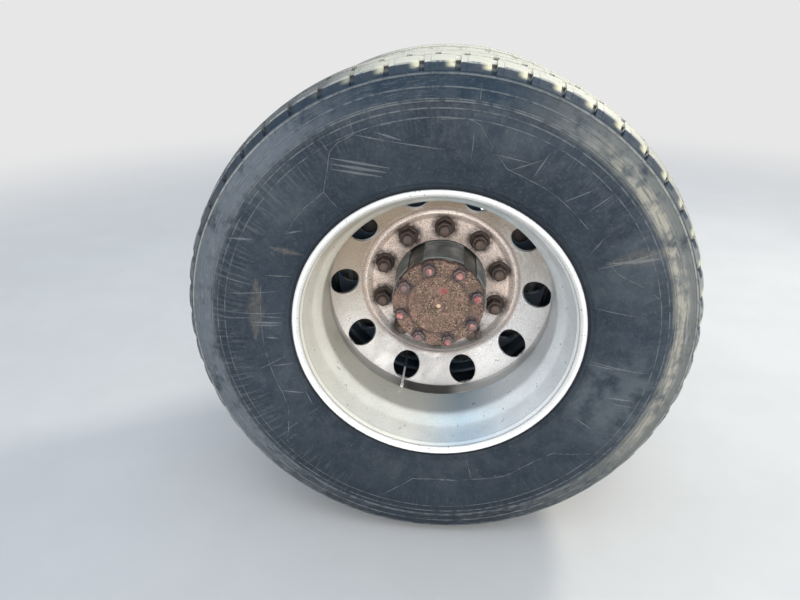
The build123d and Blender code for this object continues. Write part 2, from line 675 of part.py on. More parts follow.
def port_plane(x, start):
    """The plane of an air port's step, a distance out from the push rod's axis."""
    return Plane(origin=Vector(x, ROD_Y, ROD_Z) + PORT_LEAN * start, x_dir=(1, 0, 0), z_dir=PORT_LEAN)


with BuildPart() as service_chamber:
    with BuildSketch(ROD_PROFILE):
        with BuildLine():
            Polyline(
                (CHAMBER_FACE, 16), (CHAMBER_FACE, 74), (-30, 80), (-10, 84), (BAND_X[0], 84),
                (BAND_X[0], 92), (BAND_X[0] + 7.8, 92), (BAND_X[0] + 7.8, 0), (-20, 0), (-20, 16),
                close=True,
            )
        make_face()
    revolve(axis=ROD_AXIS)
    for radius, start, mode in PORT_STEPS:
        with BuildSketch(port_plane(SERVICE_PORT_X, start)):
            Circle(radius)
        extrude(amount=PORT_REACH - start, mode=mode)
    with BuildSketch(chamber_plane(CHAMBER_FACE + 6)):
        with Locations(*CHAMBER_STUDS):
            Circle(CHAMBER_STUD_R)
    extrude(amount=CHAMBER_STUD_REACH + 6)
save(service_chamber, "service_chamber")

with BuildPart() as spring_chamber:
    with BuildSketch(ROD_PROFILE):
        with BuildLine():
            Polyline(
                (BAND_X[0] + 8, 0), (BAND_X[0] + 8, 92), (BAND_X[1], 92), (BAND_X[1], 84), (66, 84),
                (70, 92), (84, 92), (88, 86), (150, 84),
            )
            ThreePointArc((150, 84), (170, 74), (178, 50))
            Polyline((178, 50), (178, 22), (184, 18), (184, 0), (BAND_X[0] + 8, 0))
        make_face()
    revolve(axis=ROD_AXIS)
    for radius, start, mode in PORT_STEPS:
        with BuildSketch(port_plane(SPRING_PORT_X, start)):
            Circle(radius)
        extrude(amount=PORT_REACH - start, mode=mode)
save(spring_chamber, "spring_chamber")

with BuildPart() as chamber_band:
    with BuildSketch(ROD_PROFILE):
        with Locations(((BAND_X[0] + BAND_X[1]) / 2, 95.2)):
            Rectangle(BAND_X[1] - BAND_X[0] + 4, 6)
    revolve(axis=ROD_AXIS)
    with Locations(*[((BAND_X[0] + BAND_X[1]) / 2, ROD_Y, ROD_Z + s * BAND_LUG_R) for s in (1, -1)]):
        Box(18, 26, 20)
        Cylinder(BAND_BOLT_R, BAND_BOLT_LENGTH, rotation=(90, 0, 0))
save(chamber_band, "chamber_band")

with BuildPart() as chamber_nuts:
    with BuildSketch(chamber_plane(CHAMBER_FACE - PLATE_T)):
        with Locations(*CHAMBER_STUDS):
            RegularPolygon(CHAMBER_NUT_R, 6, major_radius=False)
            Circle(CHAMBER_STUD_R + 0.2, mode=Mode.SUBTRACT)
    extrude(amount=CHAMBER_NUT_T)
save(chamber_nuts, "chamber_nuts")

# Chamber bracket: a saddle welded on the tube, the face plate, and an arm round the cam tube
SADDLE = (CHAMBER_W - 62, CHAMBER_W + 62)

with BuildPart() as chamber_bracket:
    with BuildSketch(across(SADDLE[0])):
        ring_sector(TUBE_R, TUBE_R + 9, 82, 140)
    extrude(amount=SADDLE[1] - SADDLE[0])
    with BuildSketch(Plane(origin=(CHAMBER_FACE, ROD_Y, 0), x_dir=(0, -1, 0), z_dir=(-1, 0, 0))):
        with Locations((0, 155)):
            Rectangle(164, 190)
        with Locations((0, ROD_Z)):
            Circle(15, mode=Mode.SUBTRACT)
        with Locations(*[(y, ROD_Z + z) for y, z in CHAMBER_STUDS]):
            Circle(CHAMBER_STUD_R + 0.2, mode=Mode.SUBTRACT)
    extrude(amount=PLATE_T)
    with BuildSketch(across(SADDLE[1] - 10)):
        hull((CAM_X, CAM_Z, 38), (CHAMBER_FACE - PLATE_T - 6, TUBE_R + 12, 18))
        with Locations((CAM_X, CAM_Z)):
            Circle(CAM_TUBE_R + 0.2, mode=Mode.SUBTRACT)
    extrude(amount=10)
    with BuildSketch(across(SADDLE[0] - 1)):
        Circle(TUBE_R)
    extrude(amount=SADDLE[1] - SADDLE[0] + 2, mode=Mode.SUBTRACT)
save(chamber_bracket, "chamber_bracket")
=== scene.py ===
"""Looks of a truck's dual drive wheel end: worn tyres, weathered disc wheels, rusty hub and drum brake.

Metres, in the part's frame: +Z up, +X to the vehicle's front, the wheels spin about Y with the outboard
side at -Y. A station w is a distance outboard of the plane in which the two wheel discs meet. Clock
angles are seen from outboard, in degrees clockwise from the top.
"""

import json
import math

import bmesh
import bpy
from mathutils import Matrix, Vector, noise


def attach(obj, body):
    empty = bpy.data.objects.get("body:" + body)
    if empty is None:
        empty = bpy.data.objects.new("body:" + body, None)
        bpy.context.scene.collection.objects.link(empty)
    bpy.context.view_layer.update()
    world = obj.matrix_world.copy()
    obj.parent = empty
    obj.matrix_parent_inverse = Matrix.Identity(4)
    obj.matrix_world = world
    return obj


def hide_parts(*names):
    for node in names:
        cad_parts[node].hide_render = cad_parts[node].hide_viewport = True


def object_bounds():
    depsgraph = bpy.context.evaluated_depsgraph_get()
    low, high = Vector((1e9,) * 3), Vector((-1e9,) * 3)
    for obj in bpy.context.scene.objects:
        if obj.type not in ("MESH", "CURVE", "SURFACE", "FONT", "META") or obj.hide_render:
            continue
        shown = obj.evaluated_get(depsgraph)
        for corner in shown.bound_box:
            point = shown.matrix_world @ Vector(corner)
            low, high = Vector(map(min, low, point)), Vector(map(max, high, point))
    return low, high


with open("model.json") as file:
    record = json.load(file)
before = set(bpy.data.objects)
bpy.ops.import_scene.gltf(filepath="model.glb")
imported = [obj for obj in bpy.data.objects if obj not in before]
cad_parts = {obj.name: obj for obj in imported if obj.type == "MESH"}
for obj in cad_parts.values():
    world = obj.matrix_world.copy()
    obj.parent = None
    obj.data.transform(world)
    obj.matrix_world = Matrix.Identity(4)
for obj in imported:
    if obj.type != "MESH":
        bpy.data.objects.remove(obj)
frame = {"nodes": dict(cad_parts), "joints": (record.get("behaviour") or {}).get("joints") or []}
cad_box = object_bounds()
nodes = frame["nodes"]
SPIN_Y = frame["joints"][0]["pos_m"][1]

# Wheels
SIDES = (("outer", 1), ("inner", -1))
RIM_CENTRE = 0.168          # each rim's centre, from the discs' mating plane
DISC_T = 0.011
BORE_R = 0.11005
STUD_COUNT = 10
STUD_CIRCLE_R = 0.142875
STUD_PHASE = 3.1
HAND_HOLE_CIRCLE_R = 0.2283
HAND_HOLE_R = 0.0325
HAND_HOLE_PHASE = 20.6
VALVE_SHADE_END_W = 0.040       # the inner wheel's valve is painted black as shade inside the wheel, short of this station

# Axle shaft's flange
FLANGE_STUDS = 8
FLANGE_STUD_CIRCLE_R = 0.0886
FLANGE_PHASE = -14.9

# Tyre: (radius, offset from its middle) on its wall, and the notches of its tread
TREAD_R = 0.531
TREAD_HALF = 0.111
TREAD_EDGE_R = 0.521
SHOULDER = (0.503, 0.121)
BULGE = (0.408, 0.1384)
LIP_TOP = (0.2996, 0.1086)
SHOULDER_NOTCHES = 52
RIB_NOTCHES = 65
SHOULDER_NOTCH_CLOCK = 3.05
RIB_NOTCH_CLOCK = 4.71


def at(radius, clock, w):
    """A point from its radius, clock angle in degrees and station."""
    turn = math.radians(clock)
    return Vector((radius * math.sin(turn), SPIN_Y - w, radius * math.cos(turn)))


def add_object(name, data):
    made = bpy.data.objects.new(name, data)
    bpy.context.scene.collection.objects.link(made)
    return made


def finish_mesh(name, shell, material, sharp=35.0):
    """A new object, merged, with its faces turned outwards and its sharp edges marked."""
    bmesh.ops.remove_doubles(shell, verts=shell.verts, dist=1e-6)
    bmesh.ops.recalc_face_normals(shell, faces=shell.faces)
    mesh = bpy.data.meshes.new(name)
    shell.to_mesh(mesh)
    shell.free()
    mesh.shade_smooth()
    mesh.set_sharp_from_angle(angle=math.radians(sharp))
    mesh.materials.append(material)
    return add_object(name, mesh)


def place(piece, body, slot, *replaced):
    """Sets a piece on its body and hides the CAD nodes that it stands for; its slot is not used."""
    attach(piece, body)
    if replaced:
        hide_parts(*replaced)


def join(shell, a, b, closed=True):
    """A strip of faces between two rows of vertices."""
    return [shell.faces.new((a[k - 1], a[k], b[k], b[k - 1])) for k in range(0 if closed else 1, len(a))]


def join_rings(shell, rings, looped=False, first_cap=True, last_cap=True):
    """Rings of vertices joined in a row: to the first again where looped, otherwise with caps."""
    for a, b in zip(rings, rings[1:]):
        join(shell, a, b)
    if looped:
        join(shell, rings[-1], rings[0])
        return
    for ring, capped in ((rings[0][::-1], first_cap), (rings[-1], last_cap)):
        if capped:
            shell.faces.new(ring)


def bend(before, here, after, reach, steps):
    """Points of a round corner that starts and ends at a distance from it."""
    start = here + (before - here).normalized() * reach
    end = here + (after - here).normalized() * reach
    shares = [k / steps for k in range(steps + 1)]
    return [(1 - t) ** 2 * start + 2 * t * (1 - t) * here + t ** 2 * end for t in shares]


def rounded(corners, steps=4):
    """An outline from (a, b, fillet radius) corners."""
    outline = []
    flat = [Vector(corner[:2]) for corner in corners]
    for i, (here, corner) in enumerate(zip(flat, corners)):
        if not corner[2]:
            outline.append(here)
            continue
        before = flat[i - 1]
        after = flat[(i + 1) % len(flat)]
        back, ahead = before - here, after - here
        reach = min(corner[2] / math.tan(back.angle(ahead) / 2), 0.49 * back.length, 0.49 * ahead.length)
        outline += bend(before, here, after, reach, steps)
    return outline


def lathe(name, outline, material, segments=256, stretch=None, sharp=35.0):
    """A solid turned about the spin axis from an outline of (radius, w), open where it meets the axis."""
    shell = bmesh.new()
    rings = []
    for k in range(segments):
        clock = 360.0 * k / segments
        points = [stretch(r, w, clock) for r, w in outline] if stretch else outline
        rings.append([shell.verts.new(at(r, clock, w)) for r, w in points])
    for a, b in zip(rings, rings[1:] + rings[:1]):
        join(shell, a, b, closed=outline[0][0] > 0)
    return finish_mesh(name, shell, material, sharp)


def arc_through(a, b, c):
    """Centre and radius of the circle through three points."""
    (ax, ay), (bx, by), (cx, cy) = a, b, c
    d = 2 * (ax * (by - cy) + bx * (cy - ay) + cx * (ay - by))
    squares = [x * x + y * y for x, y in (a, b, c)]
    ux = (squares[0] * (by - cy) + squares[1] * (cy - ay) + squares[2] * (ay - by)) / d
    uy = (squares[0] * (cx - bx) + squares[1] * (ax - cx) + squares[2] * (bx - ax)) / d
    return ux, uy, math.hypot(ax - ux, ay - uy)


WALL_ARC = arc_through(LIP_TOP, BULGE, SHOULDER)


# Shader building
class Wire:
    """What a node puts out. Operators make maths nodes, and a | b is their sum, kept within 0 and 1."""

    def __init__(self, socket):
        self.socket = socket

    def __getitem__(self, output):
        """Another output of the same node."""
        return Wire(self.socket.node.outputs[output])

    def maths(self, operation, other=0.0, clamp=False, last=False):
        """One maths node on this value and another, with this one second where it comes last."""
        pair = {0: other, 1: self} if last else {0: self, 1: other}
        return node(self.socket.id_data, "ShaderNodeMath", pair, operation=operation, use_clamp=clamp)

    def vector(self, operation, other=(0, 0, 0)):
        return node(self.socket.id_data, "ShaderNodeVectorMath", {0: self, 1: other}, operation=operation)

    def __add__(self, other):
        return self.maths("ADD", other)

    def __or__(self, other):
        return self.maths("ADD", other, clamp=True)

    def __sub__(self, other):
        return self.maths("SUBTRACT", other)

    def __rsub__(self, other):
        return self.maths("SUBTRACT", other, last=True)

    def __mul__(self, other):
        return self.maths("MULTIPLY", other)

    def __truediv__(self, other):
        return self.maths("DIVIDE", other)

    def __rtruediv__(self, other):
        return self.maths("DIVIDE", other, last=True)

    def __pow__(self, other):
        return self.maths("POWER", other)

    def __abs__(self):
        return self.maths("ABSOLUTE")


def node(tree, kind, inputs=None, **settings):
    """A node with its settings made and its inputs set or linked, as the wire of its first output."""
    made = tree.nodes.new(kind)
    for key, value in settings.items():
        setattr(made, key, value)
    for key, value in (inputs or {}).items():
        socket = made.inputs[key]
        if isinstance(value, Wire):
            tree.links.new(value.socket, socket)
        else:
            socket.default_value = (*value, 1.0) if socket.type == "RGBA" else value
    return Wire(made.outputs[0]) if made.outputs else None


def ease(value, low, high, to_low=0.0, to_high=1.0):
    """A value brought from low..high to 0..1, smoothly."""
    return node(value.socket.id_data, "ShaderNodeMapRange", {
        "Value": value, "From Min": low, "From Max": high, "To Min": to_low, "To Max": to_high,
    }, interpolation_type="SMOOTHSTEP")


def band(value, low, high, soft):
    """1 where a value lies between low and high, with soft ends."""
    return ease(value, low - soft, low + soft) * ease(value, high + soft, high - soft)


def mixed(tree, factor, a, b):
    """Two colours mixed by a factor."""
    return node(tree, "ShaderNodeMix", {0: factor, 6: a, 7: b}, data_type="RGBA")[2]


def object_point(tree):
    return node(tree, "ShaderNodeTexCoord")["Object"]


def combined(tree, x, y, z):
    return node(tree, "ShaderNodeCombineXYZ", {"X": x, "Y": y, "Z": z})


def noise_value(point, scale, detail=4.0, rough=0.55):
    inputs = {"Vector": point, "Scale": scale, "Detail": detail, "Roughness": rough}
    return node(point.socket.id_data, "ShaderNodeTexNoise", inputs)


def seen_rays(tree):
    """1 for rays that show the background: straight to the camera, in a reflection or through glass."""
    rays = node(tree, "ShaderNodeLightPath")
    mirrored = rays["Is Camera Ray"].maths("MAXIMUM", rays["Is Glossy Ray"])
    return mirrored.maths("MAXIMUM", rays["Is Transmission Ray"])


# Shader groups
GROUPS = {}


def shader_group(name, **inputs):
    """Makes a shader group of a function that gives its named outputs from its tree and its inputs."""
    def build(function):
        tree = bpy.data.node_groups.new(name, "ShaderNodeTree")
        for label, value in inputs.items():
            kind = "NodeSocketVector" if isinstance(value, tuple) else "NodeSocketFloat"
            socket = tree.interface.new_socket(label.replace("_", " "), in_out="INPUT", socket_type=kind)
            socket.default_value = value
        made = function(tree, node(tree, "NodeGroupInput"))
        for label, wire in made.items():
            kind = "NodeSocketVector" if wire.socket.type == "VECTOR" else "NodeSocketFloat"
            tree.interface.new_socket(label, in_out="OUTPUT", socket_type=kind)
        node(tree, "NodeGroupOutput", made)
        GROUPS[name] = tree
        return function
    return build


def use_group(tree, name, **inputs):
    named = {key.replace("_", " "): value for key, value in inputs.items()}
    return node(tree, "ShaderNodeGroup", named, node_tree=GROUPS[name])


@shader_group("WheelPlace")
def wheel_place(tree, given):
    """Where a point lies round the spin axis, and stretched points for marks that run outwards or round."""
    spot = node(tree, "ShaderNodeSeparateXYZ", {"Vector": object_point(tree)})
    x, y, z = spot["X"], spot["Y"], spot["Z"]
    radius = (x * x + z * z).maths("SQRT")
    station = SPIN_Y - y
    up = z / radius
    front = x / radius
    return {"Radius": radius, "Clock": x.maths("ARCTAN2", z) * (180 / math.pi), "Station": station,
            "Reach": abs(station) - RIM_CENTRE, "Up": up, "Front": front,
            "Outwards": combined(tree, front, radius * 0.25, up),
            "Round": combined(tree, front * 0.05, radius, up * 0.05)}


@shader_group("Patches", Scale=10.0, Low=0.45, High=0.6, Stretch=(1, 1, 1))
def patches(tree, given):
    """Soft uneven patches: noise cut between two levels."""
    point = object_point(tree).vector("MULTIPLY", given["Stretch"])
    return {"Mask": ease(noise_value(point, given["Scale"], 6.0, 0.62), given["Low"], given["High"])}


@shader_group("Specks", Scale=200.0, Amount=0.3)
def specks(tree, given):
    """Small round specks of uneven size, such as rust pits or grit."""
    point = object_point(tree)
    cells = node(tree, "ShaderNodeTexVoronoi", {"Vector": point, "Scale": given["Scale"]})
    gate = noise_value(point, given["Scale"] * 0.31, detail=2.0)
    chosen = ease(gate, 0.72 - given["Amount"], 0.80 - given["Amount"])
    return {"Mask": ease(cells["Distance"], 0.38, 0.22) * chosen}


@shader_group("Grain", Coarse=120.0, Fine=900.0, Fine_Share=0.4)
def grain(tree, given):
    """Height of a rough surface at two scales, for a bump."""
    point = object_point(tree)
    coarse = noise_value(point, given["Coarse"], 5.0, 0.6)
    return {"Height": coarse + noise_value(point, given["Fine"], 3.0, 0.6) * given["Fine Share"]}


@shader_group("Grit", Scale=500.0)
def grit(tree, given):
    """Grains lying side by side: a random value for each, and their height."""
    cells = node(tree, "ShaderNodeTexVoronoi", {"Vector": object_point(tree), "Scale": given["Scale"]})
    chance = node(tree, "ShaderNodeSeparateColor", {"Color": cells["Color"]})
    return {"Grain": chance, "Height": (1.0 - cells["Distance"]) * (chance + 0.4)}


@shader_group("Stroke", Point=(0, 0, 0), From=(0, 0, 0), Along=(1, 0, 0), Per_Length=1.0, Width=0.002)
def stroke(tree, given):
    """A straight scuff from one place on the side along a vector, thinner towards its ends."""
    here = given["Point"].vector("SUBTRACT", given["From"])
    passed = here.vector("DOT_PRODUCT", given["Along"])["Value"]
    share = passed.maths("MULTIPLY", given["Per Length"], clamp=True)
    foot = node(tree, "ShaderNodeVectorMath", {"Vector": given["Along"], "Scale": share}, operation="SCALE")
    width = given["Width"] * (1.0 - abs(share - 0.5) * 1.7)
    return {"Mask": ease(here.vector("DISTANCE", foot)["Value"], width, width * 0.25)}


@shader_group("Pitch", Count=52.0, First=0.0)
def tread_pitch(tree, given):
    """Share of the pitch passed since the last notch of the tread, 0 to 1 clockwise."""
    turned = use_group(tree, "WheelPlace")["Clock"] - given["First"]
    return {"Share": (turned * (given["Count"] / 360.0)).maths("FRACT")}


@shader_group("AroundRing", Count=10.0, Circle=0.14, Phase=0.0)
def around_ring(tree, given):
    """Distance from the nearest of a ring of equal places, such as nuts or hand holes."""
    spot = use_group(tree, "WheelPlace")
    step = 360.0 / given["Count"]
    turns = (spot["Clock"] - given["Phase"]) / step
    angle = (turns - turns.maths("ROUND")) * step * (math.pi / 180)
    away = spot["Radius"] * angle.maths("COSINE") - given["Circle"]
    aside = spot["Radius"] * angle.maths("SINE")
    return {"Distance": (away * away + aside * aside).maths("SQRT")}


class Finish:
    """One material as coats of colour, each laid on the last one through a mask."""

    def __init__(self, name, roughness=0.6, metallic=0.0, specular=0.5):
        self.material = bpy.data.materials.new(name)
        self.material.use_nodes = True
        self.tree = self.material.node_tree
        self.shader = self.tree.nodes["Principled BSDF"].inputs
        self.shader["Roughness"].default_value = roughness
        self.shader["Metallic"].default_value = metallic
        self.shader["Specular IOR Level"].default_value = specular
        self.spot = None

    def group(self, name, **inputs):
        return use_group(self.tree, name, **inputs)

    def places(self, *labels):
        """Where a point lies on the wheel, as the named values."""
        self.spot = self.spot or self.group("WheelPlace")
        return [self.spot[label] for label in labels]

    def patches(self, scale, low, high, stretch=(1, 1, 1)):
        return self.group("Patches", Scale=scale, Low=low, High=high, Stretch=stretch)

    def uneven(self, scale, low, high, least, most, stretch=(1, 1, 1)):
        """Patches that run between two values."""
        return ease(self.patches(scale, low, high, stretch), 0, 1, least, most)

    def specks(self, scale, amount):
        return self.group("Specks", Scale=scale, Amount=amount)

    def streaks(self, direction, scale, low, high):
        """Thin marks that run outwards or round the wheel."""
        [stretched] = self.places(direction)
        return ease(noise_value(stretched, scale, 3.0), low, high)

    def facing(self, axis):
        """How far the surface faces along an axis."""
        normal = node(self.tree, "ShaderNodeNewGeometry")["Normal"]
        return node(self.tree, "ShaderNodeSeparateXYZ", {"Vector": normal})[axis]

    def ramp(self, value, stops):
        """A colour picked by a value from (position, colour) stops."""
        colour = node(self.tree, "ShaderNodeValToRGB", {"Fac": value})
        scale = colour.socket.node.color_ramp
        scale.interpolation = "CONSTANT"
        while len(scale.elements) < len(stops):
            scale.elements.new(0.5)
        for element, (position, tone) in zip(scale.elements, stops):
            element.position = position
            element.color = (*tone, 1.0)
        return colour

    def strokes(self, table):
        """Scuffs of a table of (radius, clock, radius, clock, width) rows in one mask."""
        flat = object_point(self.tree).vector("MULTIPLY", (1.0, 0.0, 1.0))
        mask = None
        for start_r, start_clock, end_r, end_clock, width in table:
            start = at(start_r, start_clock, SPIN_Y)        # at this station y is 0, as in flat
            along = at(end_r, end_clock, SPIN_Y) - start
            made = self.group("Stroke", Point=flat, From=start, Along=along, Width=width,
                              Per_Length=1 / along.length_squared)
            mask = mask.maths("MAXIMUM", made) if mask else made
        return mask

    def mix(self, factor, a, b):
        return mixed(self.tree, factor, a, b)

    def coat(self, mask, colour):
        self.base = self.mix(mask, self.base, colour)

    def feed(self, key, wire):
        self.tree.links.new(wire.socket, self.shader[key])

    def bump(self, height, strength, distance):
        inputs = {"Height": height, "Strength": strength, "Distance": distance}
        self.feed("Normal", node(self.tree, "ShaderNodeBump", inputs))

    def grain_bump(self, coarse, fine, share, strength, distance):
        self.bump(self.group("Grain", Coarse=coarse, Fine=fine, Fine_Share=share), strength, distance)

    def done(self):
        self.feed("Base Color", self.base)
        return self.material


# Scuffs on the sidewall: radius and clock angle of both ends, and width
SCUFFS = (
    (0.4075, 331.7, 0.352, 345.3, 0.0042), (0.398, 331.1, 0.3455, 344.0, 0.0050),
    (0.3895, 330.5, 0.3395, 342.5, 0.0040), (0.427, 339.5, 0.3995, 346.9, 0.0016),
    (0.3995, 346.9, 0.375, 361.4, 0.0018), (0.4205, 344.3, 0.3965, 350.3, 0.0030),
    (0.361, 306.5, 0.339, 310.2, 0.0030), (0.4065, 300.1, 0.4515, 297.0, 0.0034),
    (0.3575, 275.9, 0.3185, 275.2, 0.0022), (0.378, 274.0, 0.319, 273.1, 0.0036),
    (0.375, 272.8, 0.3225, 272.3, 0.0030), (0.4225, 276.7, 0.306, 277.2, 0.0014),
    (0.4415, 274.7, 0.364, 275.5, 0.0014), (0.4315, 282.1, 0.330, 285.9, 0.0015),
    (0.362, 290.7, 0.313, 292.6, 0.0020), (0.4465, 286.5, 0.3765, 286.4, 0.0014),
    (0.3545, 257.2, 0.3125, 255.2, 0.0018), (0.3505, 268.1, 0.328, 267.0, 0.0034),
    (0.357, 247.1, 0.321, 242.2, 0.0024), (0.3845, 257.0, 0.3235, 259.2, 0.0016),
    (0.3165, 242.4, 0.3215, 236.1, 0.0014), (0.312, 100.0, 0.3715, 98.6, 0.0018),
    (0.3135, 98.7, 0.4235, 97.9, 0.0018), (0.366, 109.1, 0.4215, 107.1, 0.0026),
    (0.3795, 110.4, 0.436, 108.9, 0.0014), (0.4515, 112.4, 0.453, 108.2, 0.0030),
    (0.3075, 76.6, 0.390, 80.5, 0.0014), (0.3455, 121.3, 0.3825, 121.2, 0.0018),
    (0.3375, 62.4, 0.4495, 64.0, 0.0028), (0.363, 62.0, 0.446, 65.7, 0.0060),
    (0.360, 19.7, 0.401, 26.4, 0.0016), (0.380, 13.7, 0.388, 24.6, 0.0014),
    (0.3665, 26.6, 0.416, 27.0, 0.0020), (0.355, 37.5, 0.4115, 41.3, 0.0016),
    (0.377, 44.7, 0.428, 45.4, 0.0014), (0.339, 56.5, 0.3735, 53.8, 0.0016),
)

# Brown smears, in the same columns
SMEARS = (
    (0.3760, 288.5, 0.3720, 268.0, 0.0260), (0.3560, 61.6, 0.4700, 65.0, 0.0260),
    (0.3740, 300.2, 0.3110, 302.2, 0.0110),
)

# Small dark marks in the rim's well and on its cone, in the columns of the scuffs
WELL_MARK = ((0.2525, 160.6, 0.2527, 158.8, 0.0030),)
RIM_MARKS = ((0.2632, 155.5, 0.2638, 155.1, 0.0014), (0.2733, 197.0, 0.2743, 196.8, 0.0020))

# Red dab left on the flange, in the same columns as the scuffs
RED_DAB = ((0.030, 10.0, 0.044, 22.0, 0.010), (0.041, 6.0, 0.040, 16.0, 0.004))

# Rings moulded round the sidewall: radius, half width, height
RINGS = (
    (0.3065, 0.0022, 0.0016), (0.3145, 0.0009, 0.0008), (0.430, 0.0006, 0.0005), (0.4452, 0.0009, 0.0008),
    (0.4568, 0.0013, 0.0013), (0.4600, 0.0008, 0.0010), (0.4790, 0.0010, 0.0011), (0.5000, 0.0014, 0.0016),
)


def rubber_tone(f, radius, up):
    """The bare rubber of sidewall and tread: blue-grey, with painted dark blue shade on the shoulder at the
    top.
    """
    f.base = f.mix(f.patches(7.0, 0.35, 0.7), (0.0148, 0.0232, 0.0355), (0.0272, 0.0395, 0.054))
    f.coat(f.patches(4.0, 0.48, 0.66, (1, 1, 1.5)) * ease(up, -0.6, 0.2, 0.15, 0.5), (0.07, 0.085, 0.1))
    f.coat(f.patches(75.0, 0.5, 0.75) * 0.38, (0.062, 0.075, 0.088))
    # painted shade: dark blue on the shoulder at the top of the tyre
    navy_shade = band(radius, 0.462, 0.52, 0.01) * ease(up, 0.45, 0.85)
    f.coat(navy_shade * 0.96, (0.012, 0.027, 0.045))


def rubber_grain(f):
    f.feed("Roughness", f.uneven(30.0, 0.3, 0.7, 0.6, 0.84))
    f.grain_bump(220.0, 1400.0, 0.5, 0.35, 0.0006)
    return f.done()


def sidewall_rubber():
    """Dark blue-grey sidewall with scuffs and with dust towards the shoulder."""
    f = Finish("sidewall_rubber", roughness=0.72, specular=0.3)
    radius, reach, up, front, clock = f.places("Radius", "Reach", "Up", "Front", "Clock")
    aside = abs(front)
    rubber_tone(f, radius, up)
    f.coat(f.patches(190.0, 0.48, 0.72) * 0.3, (0.08, 0.095, 0.106))
    # painted shade: the sidewall darker towards the bottom
    f.coat(ease(up, -0.35, -0.8, 0.0, 0.55), (0.011, 0.018, 0.027))
    low_right = band(clock, 96.0, 122.0, 9.0) * band(radius, 0.315, 0.45, 0.02)
    f.coat(low_right * f.patches(28.0, 0.32, 0.6) * 0.68, (0.082, 0.098, 0.112))
    brushed = f.streaks("Outwards", 75.0, 0.48, 0.66) * band(radius, 0.395, 0.465, 0.02)
    f.coat(brushed * ease(front, -0.3, -0.9, 0.1, 0.36), (0.12, 0.135, 0.145))
    shade = f.mix(ease(front, -0.2, 0.4), (0.15, 0.172, 0.198), (0.19, 0.198, 0.182))
    amount = ease(aside, 0.18, 0.7) * ease(up, -0.92, -0.45, 0.35, 1.0)
    dusty = band(radius, 0.456, 0.506, 0.01) * f.patches(23.0, 0.26, 0.54)
    f.coat(dusty * amount * 0.66, shade)
    on_right = ease(front, 0.35, 0.85) * ease(up, -0.75, -0.25, 0.05, 0.8)
    beige = band(radius, 0.455, 0.484, 0.006) * f.streaks("Round", 160.0, 0.33, 0.56)
    f.coat(beige * f.patches(40.0, 0.33, 0.57) * on_right, (0.385, 0.36, 0.295))
    grazed = f.streaks("Round", 420.0, 0.5, 0.64) * band(radius, 0.452, 0.515, 0.012)
    grazed = grazed * ease(up, 0.9, 0.4, 0.35, 1.0)
    f.coat(grazed * f.uneven(9.0, 0.35, 0.6, 0.08, 0.5), (0.2, 0.21, 0.213))
    ux, uy, arc = WALL_ARC
    level = (arc ** 2 - (radius - ux) ** 2.0).maths("SQRT")
    raised = ease(reach - uy - level, 0.0001, 0.0005)
    rings = raised * band(radius, 0.318, 0.502, 0.002) * f.uneven(62.0, 0.34, 0.62, 0.08, 0.62)
    f.coat(rings, (0.15, 0.168, 0.178))
    crest = band(radius, 0.4985, 0.5015, 0.0016) * f.uneven(70.0, 0.32, 0.56, 0.12, 0.95)
    crest = crest * ease(up, -0.75, -0.35, 0.25, 1.0)
    f.coat(crest * ease(aside, 0.3, 0.9, 0.14, 0.8), (0.36, 0.36, 0.325))
    scuffs = f.strokes(SCUFFS) * f.patches(210.0, 0.22, 0.46) * ease(radius, 0.3, 0.312)
    f.coat(scuffs * 0.5, (0.19, 0.205, 0.215))
    smears = f.strokes(SMEARS) * f.uneven(150.0, 0.3, 0.7, 0.4, 1.0)
    f.coat(smears * 0.34, (0.185, 0.165, 0.135))
    f.coat(f.specks(420.0, 0.1) * 0.3, (0.3, 0.31, 0.3))
    # painted shade on the sidewall next to the rim's lip
    shade_by_rim = ease(radius, 0.312, 0.3)
    f.coat(shade_by_rim * 0.75, (0.012, 0.015, 0.02))
    return rubber_grain(f)


